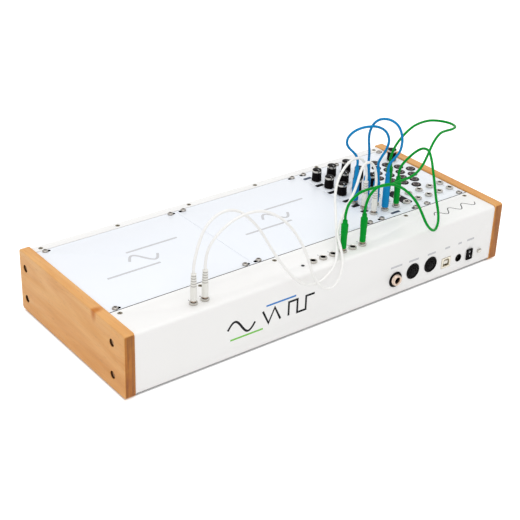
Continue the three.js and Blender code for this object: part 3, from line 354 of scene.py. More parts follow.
# One object from parts; doubled points are merged.
def makePiece(name, parts, finish, slot, *replaced, body="case"):
    points, faces, start = [], [], 0
    for partPoints, partFaces in parts:
        points.append(partPoints)
        faces.extend((np.array(face) + start).tolist() for face in partFaces)
        start += len(partPoints)
    mesh = bpy.data.meshes.new(name)
    mesh.from_pydata(((np.vstack(points) + rowShift) * mm).tolist(), [], faces)
    work = bmesh.new()
    work.from_mesh(mesh)
    bmesh.ops.remove_doubles(work, verts=work.verts, dist=meshValues["merge"] * mm)
    work.to_mesh(mesh)
    work.free()
    mesh.polygons.foreach_set("use_smooth", [True] * len(mesh.polygons))
    mesh.set_sharp_from_angle(angle=math.radians(meshValues["smooth"]))
    mesh.materials.append(finishes[finish])
    piece = addObject(name, mesh)
    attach(piece, body)
    if replaced:
        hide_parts(*replaced)
    return piece


def moved(part, x=0, y=0, z=0):
    return part[0] + np.array([x, y, z]), part[1]


# A part drawn flat as (height, x, depth), stood up in a wall that faces the rear.
def standing(part):
    return part[0][:, [1, 2, 0]], part[1]


# A part drawn flat as (y, height, depth), stood up to face along X.
def endOn(part):
    return part[0][:, [2, 0, 1]], part[1]


# A part made along Z, laid along Y.
def toRear(part):
    points, faces = part
    return np.stack([-points[:, 0], points[:, 2], points[:, 1]], axis=-1), faces


# Quads of a grid of points counted row by row, whose last column joins the first.
def gridFaces(rows, columns):
    row, column = np.meshgrid(np.arange(rows - 1), np.arange(columns), indexing="ij")
    here, after = row * columns, (column + 1) % columns
    return np.stack([here + column, here + after, here + columns + after, here + columns + column],
                    axis=-1).reshape(-1, 4).tolist()


# A profile of (radius, height) pairs turned round Z: x = r cos a, y = r sin a. The radius may carry
# a wave of the angle. The profile starts and ends on the axis, or closes on itself.
def turned(profile, sides=28, wave=None):
    profile = np.array(profile, float)
    angle = np.linspace(0, 2 * np.pi, sides, endpoint=False)
    radius = np.repeat(profile[:, :1], sides, axis=1)
    height = np.repeat(profile[:, 1:], sides, axis=1)
    if wave:
        radius = radius + wave(angle[None, :], radius, height)
    points = np.stack([radius * np.cos(angle), radius * np.sin(angle), height], axis=-1).reshape(-1, 3)
    faces = gridFaces(len(profile), sides)
    r, z = profile[:, 0], profile[:, 1]
    if np.sum(r * np.roll(z, -1) - np.roll(r, -1) * z) < 0:
        faces = [face[::-1] for face in faces]
    return points, faces


# The closed profile of a plain ring.
def ringProfile(inner, outer, low, high):
    return [(inner, low), (outer, low), (outer, high), (inner, high), (inner, low)]


# Points round a circle: x + r cos a, y + r sin a.
def circle(radius, sides=28, x=0, y=0):
    angle = np.linspace(0, 2 * np.pi, sides, endpoint=False)
    return np.stack([x + radius * np.cos(angle), y + radius * np.sin(angle)], axis=-1)


def circlesAt(places, radius, sides):
    return [circle(radius, sides, x, y) for x, y in places]


# A rectangle's outline with a quarter circle at each corner.
def roundRect(width, height, radius, x=0, y=0, steps=5):
    quarter = np.linspace(0, np.pi / 2, steps)
    corners = []
    for i, (right, up) in enumerate(((1, 1), (-1, 1), (-1, -1), (1, -1))):
        turn = quarter + i * np.pi / 2
        corners.append(np.stack([x + right * (width / 2 - radius) + radius * np.cos(turn),
                                 y + up * (height / 2 - radius) + radius * np.sin(turn)], axis=-1))
    return np.vstack(corners)


def box(left, right, low, high):
    return np.array([(left, low), (right, low), (right, high), (left, high)], float)


# A slot along X with round ends.
def slotLoop(half, radius, x=0, y=0, steps=9):
    turn = np.linspace(-np.pi / 2, np.pi / 2, steps)
    right = np.stack([x + half + radius * np.cos(turn), y + radius * np.sin(turn)], axis=-1)
    left = np.stack([x - half - radius * np.cos(turn), y - radius * np.sin(turn)], axis=-1)
    return np.vstack([right, left])


# The outline of a driver's cross recess.
def crossLoop(a, b):
    return np.array([(a, -b), (a, b), (b, b), (b, a), (-b, a), (-b, b),
                     (-a, b), (-a, -b), (-b, -b), (-b, -a), (b, -a), (b, -b)], float)


def leftTurning(loop):
    loop = np.asarray(loop, float)
    x, y = loop[:, 0], loop[:, 1]
    return loop if np.sum(x * np.roll(y, -1) - y * np.roll(x, -1)) > 0 else loop[::-1]


# A closed outline moved to its left by a distance, along the mitre of its two edges.
def setIn(loop, distance):
    into = loop - np.roll(loop, 1, axis=0)
    out = np.roll(into, -1, axis=0)
    into = into / np.linalg.norm(into, axis=1, keepdims=True)
    out = out / np.linalg.norm(out, axis=1, keepdims=True)
    first = np.stack([-into[:, 1], into[:, 0]], axis=-1)
    second = np.stack([-out[:, 1], out[:, 0]], axis=-1)
    mitre = first + second
    mitre = mitre / np.maximum(np.sum(mitre * first, axis=1, keepdims=True), 0.4)
    return loop + distance * mitre


# A flat plate with holes. Each loop's wall is a stack of rings with quarter-round edges: a ring is
# set in by r (1 - cos t) at r (1 - sin t) below the face. The flat faces between are triangulated.
# Walls on a joint, an axis and its value, are left open, where the next part carries on.
def plate(outline, holes, low, high, edge=0.25, rim=0.15, steps=3, joints=()):
    loops = [leftTurning(outline)] + [leftTurning(hole)[::-1] for hole in holes]
    points, faces, tops, bottoms, rings, start = [], [], [], [], [], 0
    for number, loop in enumerate(loops):
        r = rim if number else edge
        if r:
            turn = np.linspace(0, np.pi / 2, steps)
            ins = np.concatenate([r * (1 - np.sin(turn)), r * (1 - np.cos(turn))])
            heights = np.concatenate([low + r * (1 - np.cos(turn)), high - r * (1 - np.sin(turn))])
        else:
            ins, heights = (0, 0), (low, high)
        stack = [np.column_stack([setIn(loop, d) if d else loop, np.full(len(loop), z)])
                 for d, z in zip(ins, heights)]
        count = len(loop)
        walls = np.array(gridFaces(len(stack), count))
        for axis, line in joints if number == 0 else ():
            across = np.vstack(stack)[:, axis]
            walls = walls[~np.all(np.abs(across[walls] - line) < 1e-6, axis=1)]
        points.extend(stack)
        faces += (walls + start).tolist()
        bottoms.append(start + np.arange(count))
        tops.append(start + (len(stack) - 1) * count + np.arange(count))
        rings.append(stack[-1].tolist())
        start += len(stack) * count
    cloud = np.vstack(points)
    fans = np.array(tessellate_polygon(rings))
    for numbers, up in ((np.concatenate(tops), True), (np.concatenate(bottoms), False)):
        triangles = numbers[fans]
        corners = cloud[triangles][:, :, :2]
        first, second = corners[:, 1] - corners[:, 0], corners[:, 2] - corners[:, 0]
        facing = first[:, 0] * second[:, 1] - first[:, 1] * second[:, 0]
        wrong = (facing < 0) == up
        triangles[wrong] = triangles[wrong][:, ::-1]
        faces += triangles.tolist()
    return cloud, faces


# A box whose upright corners are a little rounder than its edges.
def softBox(size, x, y, z, edge=0.3):
    width, depth, height = size
    return plate(roundRect(width, depth, edge + 0.08, x, y), [], z - height / 2, z + height / 2, edge)


# Patch cords, first because their free length has to suit the view

levels = {"panelTop": 62.8, "panelUnder": 60.8, "plugFoot": 65.2}
row = {"rearSeam": 50.05, "frontSeam": -78.45, "rearFace": 90.75, "frontFace": -90.75}
jackPlan = {"pitch": 15, "rowPitch": 14.302, "rowIn": 15.8055, "stripPitch": 12, "stripY": 77.55}
cordValues = {"radius": 1.3, "lead": 5, "gap": 0.3, "perSpan": 12}

# a turned pin with its tip, and the collar that stands on the jack's nut
plugPin = [(0, -12.1), (0.5, -12.0), (1.35, -10.9), (1.1, -9.9), (1.7, -9.2), (1.7, -0.2), (2.3, 0),
           (2.5, 0.2), (2.5, 0.55), (2.15, 0.65), (2.15, 0.85), (2.5, 0.95), (2.5, 1.25), (0, 1.3)]
# a waisted grip that swells to the top, with three shallow grip rings and a short relief
greenBoot = [(0, 1.3), (2.6, 1.3), (2.9, 1.6), (2.95, 7), (2.75, 7.3), (2.75, 8), (2.97, 8.3), (3.1, 15.6),
             (3.35, 18), (3.4, 19), (3.2, 19.3), (3.2, 20), (3.4, 20.3), (3.4, 25.9), (3.2, 26.4),
             (2.6, 26.75), (2.4, 27.2), (2.35, 29.9), (2.2, 30.4), (1.8, 30.6), (0, 30.6)]
# a straight grip with a fine groove near each end, then a long smooth relief
blueBoot = [(0, 1.3), (3.0, 1.3), (3.35, 1.6), (3.5, 2), (3.5, 5.2), (3.32, 5.4), (3.32, 5.9), (3.5, 6.1),
            (3.5, 19.4), (3.32, 19.6), (3.32, 20.1), (3.5, 20.3), (3.5, 22.3), (3.3, 22.9), (2.7, 24.2),
            (2.45, 25.4), (2.35, 28), (2.15, 33), (1.95, 38.2), (1.75, 38.6), (0, 38.6)]
# a slim grip, then five ribs of a flexible relief, with a grey core between them that paints shade in the
# grooves
whiteBoot = [(0, 1.3), (2.5, 1.3), (2.85, 1.6), (2.9, 5.2), (2.85, 15.1)]
for i in range(5):
    ribFoot, ribOut = 15.1 + 2.45 * i, 2.75 - 0.1 * i
    whiteBoot += [(1.42, ribFoot + 0.1), (1.42, ribFoot + 1.2),
                  (ribOut, ribFoot + 1.3), (ribOut, ribFoot + 2.4)]
whiteBoot += [(2.1, 27.45), (1.8, 27.6), (0, 27.6)]
# the grey core inside the ribs: painted shade in the grooves
whiteRibShade = [(0, 15), (2.55, 15), (2.1, 26.3), (0, 26.3)]
pinLayer = (plugPin, "warmNickel", "bare_steel")
# top is where the cord leaves the boot
cordKinds = {
    "green": {"jacket": "cordGreen", "slot": "cord_green", "top": 30.6,
              "layers": {"pin": pinLayer, "boot": (greenBoot, "cordGreen", "cord_green")}},
    "blue": {"jacket": "cordBlue", "slot": "cord_blue", "top": 38.6,
             "layers": {"pin": pinLayer, "boot": (blueBoot, "cordBlue", "cord_blue")}},
    "white": {"jacket": "cordWhite", "slot": "cord_white", "top": 27.6,
              "layers": {"pin": pinLayer, "boot": (whiteBoot, "gripWhiteShaded", "cord_white"),
                         "core": (whiteRibShade, "ribShadeGrey", "cord_white")}},
}

voiceX = boxes["voice_panel"][:, 0].mean()
touchX = boxes["touch_panel"][:, 0].mean()


# Rows of four jacks, one pitch apart, from the rear seam forwards.
def jackGrid(centre, rows):
    column, line = np.meshgrid(np.arange(4), np.arange(rows))
    x = centre + (1.5 - column.ravel()) * jackPlan["pitch"]
    y = row["rearSeam"] - jackPlan["rowIn"] - line.ravel() * jackPlan["rowPitch"]
    return np.stack([x, y], axis=-1)


def stripRow(first, count):
    return np.array([(first - i * jackPlan["stripPitch"], jackPlan["stripY"]) for i in range(count)])


voiceJacks = jackGrid(voiceX, 3)
touchJacks = jackGrid(touchX, 2)
cvJacks = stripRow(13.8, 6)
outputJacks = stripRow(146.4, 2)

# heights in the routes count from the panels' tops
cordRoutes = {
    "green_cord_1": ("green", [cvJacks[5], voiceJacks[2]], [
        (-50, 78, 50), (-58, 79, 57), (-70, 81, 58), (-83, 83, 53), (-92, 85, 46), (-98, 88, 39),
        (-102, 92, 31), (-107, 100, 14), (-113, 101, 7), (-123, 97, 3), (-132, 91, 6), (-136, 86, 13),
        (-136, 81, 27), (-134, 78, 45), (-135, 74, 54), (-139, 67, 61), (-145, 56, 65), (-147, 46, 63),
        (-144, 39, 57), (-132, 35, 45),
    ]),
    "green_cord_2": ("green", [cvJacks[3], voiceJacks[11]], [
        (-26, 77, 48), (-38, 76, 55), (-60, 73, 54), (-71, 71, 52), (-83, 68, 49), (-94, 65, 47),
        (-103, 63, 46), (-121, 60, 45), (-133, 57, 47), (-142, 54, 51), (-153, 49, 58), (-161, 45, 63),
        (-170, 41, 67), (-181, 37, 69), (-201, 33, 67), (-214, 24, 64), (-217, 13, 63), (-213, 4, 63),
        (-203, -1, 64), (-179, 3, 66), (-168, 5, 64), (-158, 6, 59), (-149, 6, 50),
    ]),
    "blue_cord_1": ("blue", [voiceJacks[8], voiceJacks[5]], [
        (-97, 5, 53), (-89, 3, 62), (-86, 3, 67), (-85, 5, 74), (-88, 9, 81), (-94, 13, 85),
        (-101, 16, 86), (-109, 18, 85), (-117, 20, 81), (-121, 22, 76), (-122, 24, 69), (-119, 24, 60),
        (-116, 22, 53),
    ]),
    "blue_cord_2": ("blue", [voiceJacks[1], voiceJacks[9]], [
        (-116, 35, 51), (-122, 38, 60), (-124, 39, 65), (-125, 39, 75), (-124, 36, 85), (-122, 32, 90),
        (-118, 26, 93), (-113, 19, 92), (-110, 14, 87), (-109, 10, 78), (-110, 8, 69), (-112, 7, 60),
        (-114, 6, 51),
    ]),
    "white_cord_1": ("white", [outputJacks[0], voiceJacks[4]], [
        (144, 77, 46), (134, 74, 65), (123, 73, 74), (110, 73, 77), (97, 74, 73), (82, 77, 58),
        (76, 79, 49), (70, 82, 37), (65, 85, 27), (54, 92, 8), (43, 95, -4), (32, 97, -9), (20, 98, -8),
        (5, 96, 0), (-7, 86, 6), (-16, 75, 9), (-22, 67, 14), (-32, 53, 28), (-39, 43, 37),
        (-46, 36, 44), (-57, 29, 52), (-74, 23, 59), (-87, 21, 58), (-96, 20, 50),
    ]),
    "white_cord_2": ("white", [outputJacks[1], voiceJacks[0]], [
        (132, 78, 48), (125, 79, 59), (113, 80, 68), (99, 80, 72), (84, 80, 72), (73, 81, 69),
        (59, 84, 60), (50, 87, 50), (44, 90, 40), (40, 93, 31), (37, 96, 21), (32, 101, 1),
        (23, 103, -12), (13, 103, -16), (3, 101, -13), (-7, 95, 0), (-13, 84, 10), (-18, 74, 16),
        (-26, 66, 22), (-38, 59, 30), (-48, 54, 36), (-56, 50, 41), (-63, 46, 46), (-78, 37, 58),
        (-89, 34, 58), (-97, 33, 50),
    ]),
}


# The part's own path, in metres: a lead straight up out of each boot and a smooth curve through
# the route's points, on centripetal Catmull-Rom spans worked out by repeated linear blends.
def cordPath(kind, ends, route):
    leave = levels["plugFoot"] + cordKinds[kind]["top"] + cordValues["gap"]
    first, last = [np.array([x, y, leave]) for x, y in ends]
    lead = np.array([0, 0, cordValues["lead"]])
    inner = np.array(route, float) + (0, 0, levels["panelTop"])
    knots = np.vstack([first, first + lead, inner, last + lead, last])
    knots = np.vstack([2 * knots[0] - knots[1], knots, 2 * knots[-1] - knots[-2]])
    p0, p1, p2, p3 = [knots[i:len(knots) - 3 + i, None, :] for i in range(4)]
    t1 = np.sqrt(np.linalg.norm(p1 - p0, axis=2, keepdims=True))
    t2 = t1 + np.sqrt(np.linalg.norm(p2 - p1, axis=2, keepdims=True))
    t3 = t2 + np.sqrt(np.linalg.norm(p3 - p2, axis=2, keepdims=True))
    t = t1 + (t2 - t1) * np.linspace(0, 1, cordValues["perSpan"], endpoint=False)[None, :, None]
    a1 = (t1 - t) / t1 * p0 + t / t1 * p1
    a2 = (t2 - t) / (t2 - t1) * p1 + (t - t1) / (t2 - t1) * p2
    a3 = (t3 - t) / (t3 - t2) * p2 + (t - t2) / (t3 - t2) * p3
    b1 = (t2 - t) / t2 * a1 + t / t2 * a2
    b2 = (t3 - t) / (t3 - t1) * a2 + (t - t1) / (t3 - t1) * a3
    curve = ((t2 - t) / (t2 - t1) * b1 + (t - t1) / (t2 - t1) * b2).reshape(-1, 3)
    return (np.vstack([curve, last]) + rowShift) * mm


def makeCord(name, kind, ends, route):
    look = cordKinds[kind]
    for number, (x, y) in enumerate(ends, 1):
        for layer, (profile, finish, slot) in look["layers"].items():
            part = moved(turned(profile), x, y, levels["plugFoot"])
            makePiece(f"{name}_{layer}_{number}", [part], finish, slot, f"{name}_plug_{number}")
    path = cordPath(kind, ends, route)
    data = bpy.data.curves.new(name + "_jacket", "CURVE")
    data.dimensions = "3D"
    spline = data.splines.new("POLY")
    spline.points.add(len(path) - 1)
    spline.points.foreach_set("co", np.column_stack([path, np.ones(len(path))]).ravel())
    spline.use_smooth = True
    data.bevel_depth = cordValues["radius"] * mm
    data.bevel_resolution = 3
    data.use_fill_caps = True
    data.materials.append(finishes[look["jacket"]])
    cord = addObject(name + "_jacket", data)
    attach(cord, "case")
    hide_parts(name)


for name, (kind, ends, route) in cordRoutes.items():
    makeCord(name, kind, ends, route)
print("patch cords made")


# The case: one folded sheet, with its strips and rear wall pierced

caseForm = {"half": boxes["case_shell"][1, 0], "sheet": 1.5, "topBend": 3, "bottomBend": 2.6, "floor": 2.7,
            "rearEdge": 50.85, "frontEdge": -78.85, "bendSteps": 9, "jackHole": 3.3, "lampHole": 1.8}
stripScrews = {"pitch": 82.4, "count": 6, "run": 5.2, "hole": 2.3}
stripScrewXs = (np.arange(stripScrews["count"]) - (stripScrews["count"] - 1) / 2) * stripScrews["pitch"]
stripScrewYs = (row["rearSeam"] + stripScrews["run"], row["frontSeam"] - stripScrews["run"])
lampPlace = (25.8, jackPlan["stripY"])
# x and height of what stands in the rear wall, and its openings: radii, or heights and widths
rear = {"phone": (-81.5, 20.3), "midiIn": (-104.5, 22.3), "midiOut": (-128.5, 22.3), "usb": (-150.5, 17.8),
        "dc": (-168, 17.7), "rocker": (-183, 17.8), "hook": (-197, 17.8)}
roundWindows = {"phone": 8.2, "midiIn": 8.5, "midiOut": 8.5, "dc": 4.2}
squareWindows = {"usb": (11.6, 12.8), "rocker": (11, 7.7)}
hookForm = {"half": 2.3, "gauge": 0.9, "reach": 2.7, "corner": 1.3, "halfHeight": 1.7, "root": -0.4}


# An arc as points: centre plus radius times (cos, sin) from one angle to another, in degrees.
def arc(centreY, centreZ, radius, start, end, steps):
    turn = np.radians(np.linspace(start, end, steps))
    return np.stack([centreY + radius * np.cos(turn), centreZ + radius * np.sin(turn)], axis=-1)


# A bend of the sheet carried along X: the outer line of its section, the inner line back, both repeated
# at the two ends of the case, with the cut ends closed and the joints to the next parts left open.
def bentSheet(outer, inner, half):
    count = len(outer)
    section = np.vstack([outer, inner[::-1]])
    points = np.vstack([np.column_stack([np.full(2 * count, x), section]) for x in (-half, half)])
    along = np.delete(np.arange(2 * count - 1), count - 1)
    walls = np.stack([along, along + 1, 2 * count + along + 1, 2 * count + along], axis=-1)
    i = np.arange(count - 1)
    end = np.stack([i, i + 1, 2 * count - 2 - i, 2 * count - 1 - i], axis=-1)
    return points, np.vstack([walls, end[:, ::-1], end + 2 * count]).tolist()


def foldedSheet():
    f = caseForm
    top, base, half, sheet = levels["panelTop"], f["floor"], f["half"], f["sheet"]
    back, front, bend, low = row["rearFace"], row["frontFace"], f["topBend"], f["bottomBend"]
    steps = f["bendSteps"]
    (upper, lower), (upperIn, lowerIn) = [(
        arc(back - bend, top - bend, bend - depth, 0, 90, steps),
        np.vstack([arc(front + bend, top - bend, bend - depth, 90, 180, steps),
                   arc(front + low, base + low, low - depth, 180, 270, steps),
                   arc(back - low, base + low, low - depth, 270, 360, steps)]),
    ) for depth in (0, sheet)]
    screws = [circlesAt([(x, y) for x in stripScrewXs], stripScrews["hole"], 24) for y in stripScrewYs]
    jacks = circlesAt(np.vstack([cvJacks, outputJacks]), f["jackHole"], 28)
    lamp = circlesAt([lampPlace], f["lampHole"], 20)
    windows = [circle(radius, 40, *rear[name][::-1]) for name, radius in roundWindows.items()]
    windows += [roundRect(*size, 0.3, *rear[name][::-1], steps=3) for name, size in squareWindows.items()]
    rearStrip = box(-half, half, f["rearEdge"], back - bend)
    frontStrip = box(-half, half, front + bend, f["frontEdge"])
    wall = np.array([(base + low, -half), (top - bend, -half), (top - bend, half), (base + low, half)])
    edges = {"edge": 0, "rim": 0.2}
    wallJoints = [(0, base + low), (0, top - bend)]
    return [
        bentSheet(upper, upperIn, half),
        bentSheet(lower, lowerIn, half),
        plate(rearStrip, screws[0] + jacks + lamp, top - sheet, top, **edges, joints=[(1, back - bend)]),
        plate(frontStrip, screws[1], top - sheet, top, **edges, joints=[(1, front + bend)]),
        standing(plate(wall, windows, back - sheet, back, **edges, joints=wallJoints)),
    ]


# The lead hook: a strap bent out of the wall.
def leadHook():
    x, z = rear["hook"]
    f = hookForm
    half, root, inner, end = f["half"], f["root"], f["half"] - f["gauge"], f["reach"] - f["gauge"]
    bend = roundRect(2 * half, 2 * f["reach"], f["corner"])[:10]
    hollow = [(-inner, root), (-inner, end), (inner, end), (inner, root)]
    loop = np.vstack([[(half, root)], bend, [(-half, root)], hollow])
    return moved(plate(loop, [], z - f["halfHeight"], z + f["halfHeight"], 0.2), x, row["rearFace"])


makePiece("case_sheet", foldedSheet(), "casePaint", "case_paint", "case_shell")
makePiece("lead_hook", [leadHook()], "nickel", "bare_steel", "case_shell")
print("case made")


# The cheeks: rounded boards with a deep recess for each screw

cheekForm = {"thick": 10.2, "depth": 183.5, "low": 1.5, "high": 64.5, "corner": 3, "edge": 1.1, "end": 213.96,
             "recess": 3.7, "recessDepth": 5.4, "screwYs": {"rear": 70.75, "front": -81.25},
             "screwZs": (47.8, 15.8)}
cheekScrewPlaces = [(y, z) for y in cheekForm["screwYs"].values() for z in cheekForm["screwZs"]]
recessFloor = cheekForm["thick"] - cheekForm["recessDepth"]
bracketForm = {"gauge": 2, "wall": 12, "low": 8, "high": 51.9, "legs": {"rear": 27, "front": 16}, "bend": 1.5,
               "fillet": 0.6}
# a turned body, and the shape sunk into a disc that fills its hollow head
socketScrew = {"sides": 32, "hollow": 1.75, "floor": 0.9, "top": 3.2, "recess": circle(1.25, 6), "rim": 0.1,
               "body": [(0, -9.4), (1.9, -9.4), (1.9, 0), (3.2, 0), (3.2, 2.95), (2.95, 3.2), (1.75, 3.2),
                        (1.75, 0.9), (0, 0.9)]}


# A screw in two parts that stand a hundredth of a millimetre apart.
def screwParts(form):
    rim = circle(form["hollow"] - 0.01, form["sides"])
    disc = plate(rim, [form["recess"]], form["floor"] + 0.01, form["top"], 0, form["rim"])
    return [turned(form["body"], form["sides"]), disc]


# A part turned round Z, laid along X so that its top faces out of one cheek.
def outOfCheek(side, part, lift, y, z):
    points, faces = part
    points = np.stack([points[:, 2], points[:, 0], points[:, 1]], axis=-1)
    if side < 0:
        points = points * (-1, -1, 1)
    return points + (side * (cheekForm["end"] + lift), y, z), faces


# The board, and a shelf at the foot of each recess that the screw's head stands on.
def cheekParts(side):
    f = cheekForm
    outline = roundRect(f["depth"], f["high"] - f["low"], f["corner"], 0, (f["high"] + f["low"]) / 2, 9)
    near, far = sorted((side * f["end"], side * (f["end"] + f["thick"])))
    board = endOn(plate(outline, circlesAt(cheekScrewPlaces, f["recess"], 36), near, far, f["edge"], 0.35, 6))
    shelf = turned(ringProfile(2.2, f["recess"] + 0.02, 0.02, recessFloor), 36)
    return [board] + [outOfCheek(side, shelf, 0, y, z) for y, z in cheekScrewPlaces]


# An angle: its outer line goes round a bend of quarter-circle steps, its inner corner has a small chamfer.
def cornerBracket(side, face, leg):
    f = bracketForm
    inner, wall = cheekForm["end"] - 0.3, row["rearFace"] - 1.8
    corner = np.array([inner, wall]) + arc(0, 0, f["bend"], 0, 90, 5) - f["bend"]
    thin, deep = inner - f["gauge"], wall - f["gauge"]
    inside = [(inner - f["wall"], wall), (inner - f["wall"], deep), (thin - f["fillet"], deep),
              (thin, deep - f["fillet"]), (thin, wall - leg)]
    outline = np.vstack([[(inner, wall - leg)], corner, inside])
    return plate(outline * (side, face), [], f["low"], f["high"], 0.2)


for side, sideName in ((-1, "left"), (1, "right")):
    makePiece(f"{sideName}_cheek_board", cheekParts(side), "wood", "wood", f"{sideName}_cheek")
    # a darker sleeve in each recess, from the screw's head to just under the board's face: painted shade
    wall = turned(ringProfile(cheekForm["recess"] - 0.25, cheekForm["recess"] - 0.03, recessFloor + 0.1,
                              cheekForm["thick"] - 0.5), 36)
    makePiece(f"{sideName}_recess_shade_sleeves", [outOfCheek(side, wall, 0, y, z) for y, z in cheekScrewPlaces],
              "recessShadeBrown", "wood")
    for face, faceName in ((-1, "front"), (1, "rear")):
        node = f"{faceName}_{sideName}_bracket"
        bracket = cornerBracket(side, face, bracketForm["legs"][faceName])
        makePiece(node + "_angle", [bracket], "zinc", "bare_steel", node)
        # the screws' brown tint is a painted reflection of the wood
        screws = [outOfCheek(side, part, recessFloor + 0.3, cheekForm["screwYs"][faceName], z)
                  for z in cheekForm["screwZs"] for part in screwParts(socketScrew)]
        makePiece(node + "_screws", screws, "screwWoodReflection", "bare_steel", node)
print("cheeks and brackets made")


# Rails, threaded strips and their screws

railForm = {"top": 60.5, "stripTop": 61, "height": 8, "panelSide": 8.5, "stripSide": 9.3, "lip": 1.6,
            "slot": 1.8, "bay": 3.7, "bayHeight": 4.3, "screwIn": 3, "step": 0.4}
threadForm = {"size": (2 * caseForm["half"], 6.6, 3.4), "middle": 56.9}
flushScrew = {"sides": 28, "hollow": 1.7, "floor": -1.2, "top": 0, "recess": crossLoop(1.4, 0.5), "rim": 0.08,
              "body": [(0, -5.6), (1.2, -5.6), (1.4, -5.3), (1.4, -0.9), (2.1, -0.2), (2.2, -0.08), (2.1, 0),
                       (1.7, 0), (1.7, -1.2), (0, -1.2)]}
panScrew = {"sides": 32, "hollow": 1.8, "floor": 0.7, "top": 1.7, "recess": crossLoop(1.5, 0.48), "rim": 0.08,
            "body": [(0, -5.8), (1.3, -5.8), (1.5, -5.5), (1.5, 0), (2.75, 0), (2.8, 0.1), (2.8, 0.5),
                     (2.68, 0.95), (2.4, 1.35), (2.05, 1.6), (1.8, 1.7), (1.8, 0.7), (0, 0.7)]}
panelForm = {"length": 127.9, "slotIn": 7.47, "slotHalf": 2.1, "slot": 1.8, "corner": 0.5}
# each panel hangs a little to one side of its screws
slotShift = {"blank_panel_right": -1.5, "blank_panel_middle": 1.5, "voice_panel": 1.2, "touch_panel": -1.2}
panelXs = {name: boxes[name][:, 0].mean() for name in slotShift}
panelWidths = {name: np.ptp(boxes[name][:, 0]) for name in slotShift}
slotReach = {name: panelWidths[name] / 2 - panelForm["slotIn"] for name in slotShift}
panelScrewXs = [panelXs[name] + side * slotReach[name] for name in slotShift for side in (-1, 1)]
panelScrewYs = (row["rearSeam"] - railForm["screwIn"], row["frontSeam"] + railForm["screwIn"])
# a dark strip in each long seam, on the rail, just under the panels' faces, painted shade of the seam's gap:
# front, rear and top
seamShadeForm = {"low": 61.05, "strips": ((49.78, 50.82, 62.7), (-78.82, -78.2, 62.2))}


# A rail's section: a block with a slot that opens into a wider bay for the threaded strip.
def railBar(seam, face):
    f = railForm
    low, top, bay = f["top"] - f["height"], f["top"], f["top"] - f["lip"]
    line = -f["screwIn"]
    left, right = line - f["slot"], line + f["slot"]
    bayLeft, bayRight, bayLow = line - f["bay"], line + f["bay"], bay - f["bayHeight"]
    outline = np.array([
        (-f["panelSide"], low), (f["stripSide"], low), (f["stripSide"], f["stripTop"]),
        (f["step"], f["stripTop"]), (f["step"], top), (right, top), (right, bay), (bayRight, bay),
        (bayRight, bayLow), (bayLeft, bayLow), (bayLeft, bay), (left, bay), (left, top),
        (-f["panelSide"], top)])
    half = caseForm["half"]
    return endOn(plate(outline * (face, 1) + (seam, 0), [], -half, half, 0.15, 0.1, 2))


def screwsAt(form, xs, y, z):
    return [moved(part, x, y, z) for x in xs for part in screwParts(form)]


for number, (name, seam, face) in enumerate((("rear", row["rearSeam"], 1), ("front", row["frontSeam"], -1))):
    makePiece(f"{name}_rail_bar", [railBar(seam, face)], "railMetal", "rail_aluminium", f"{name}_rail")
    flush = screwsAt(flushScrew, stripScrewXs, stripScrewYs[number], levels["panelTop"])
    makePiece(f"{name}_strip_screws", flush, "screwGrey", "bare_steel", f"{name}_rail")
    y, node = panelScrewYs[number], f"{name}_threaded_strip"
    thread = softBox(threadForm["size"], 0, y, threadForm["middle"])
    makePiece(f"{name}_thread_bar", [thread], "blackOxide", "bare_steel", node)
    pans = screwsAt(panScrew, panelScrewXs, y, levels["panelTop"] + 0.1)
    makePiece(f"{name}_panel_screws", pans, "zinc", "bare_steel", node)
# dark strips in the seams between the case's strips and the panels: painted shade
seamShade = [plate(box(-caseForm["half"], caseForm["half"], front, back), [], seamShadeForm["low"], top, 0)
        for front, back, top in seamShadeForm["strips"]]
makePiece("seam_painted_shade", seamShade, "rubber", "foot_rubber")
print("rails and screws made")


# The panels

controlHoles = {"jack": (3.3, 28), "shaft": (3.7, 32)}
knobPlaces = [middleOf(f"knob_{i}") for i in range(1, 10)]
encoderPlace = middleOf("encoder_knob")
panelControls = {"voice_panel": (voiceJacks, knobPlaces), "touch_panel": (touchJacks, [encoderPlace])}
panelY = (row["rearSeam"] + row["frontSeam"]) / 2


# The four slots of a panel, or the same outlines drawn in by a gap.
def panelSlots(name, gap=0.0):
    f = panelForm
    xs = [panelXs[name] + side * slotReach[name] + slotShift[name] for side in (-1, 1)]
    return [slotLoop(f["slotHalf"], f["slot"] - gap, x, y) for x in xs for y in panelScrewYs]


for name in panelXs:
    jacks, shafts = panelControls.get(name, ([], []))
    holes = circlesAt(jacks, *controlHoles["jack"]) + circlesAt(shafts, *controlHoles["shaft"])
    outline = roundRect(panelWidths[name], panelForm["length"], panelForm["corner"], panelXs[name], panelY, 4)
    panel = plate(outline, panelSlots(name) + holes, levels["panelUnder"], levels["panelTop"], 0.12)
    makePiece(name + "_plate", [panel], "panelPaint", "panel_paint", name)
# black nylon liners in the slots, round the screws' shanks
liners = [plate(outer, [inner], levels["panelUnder"], levels["panelTop"] - 0.12, 0, 0)
          for name in panelXs for outer, inner in zip(panelSlots(name, 0.02), panelSlots(name, 0.22))]
makePiece("panel_slot_liners", liners, "socketBlack", "socket_black")
print("panels made")


# Jacks, pots and the boards that carry them

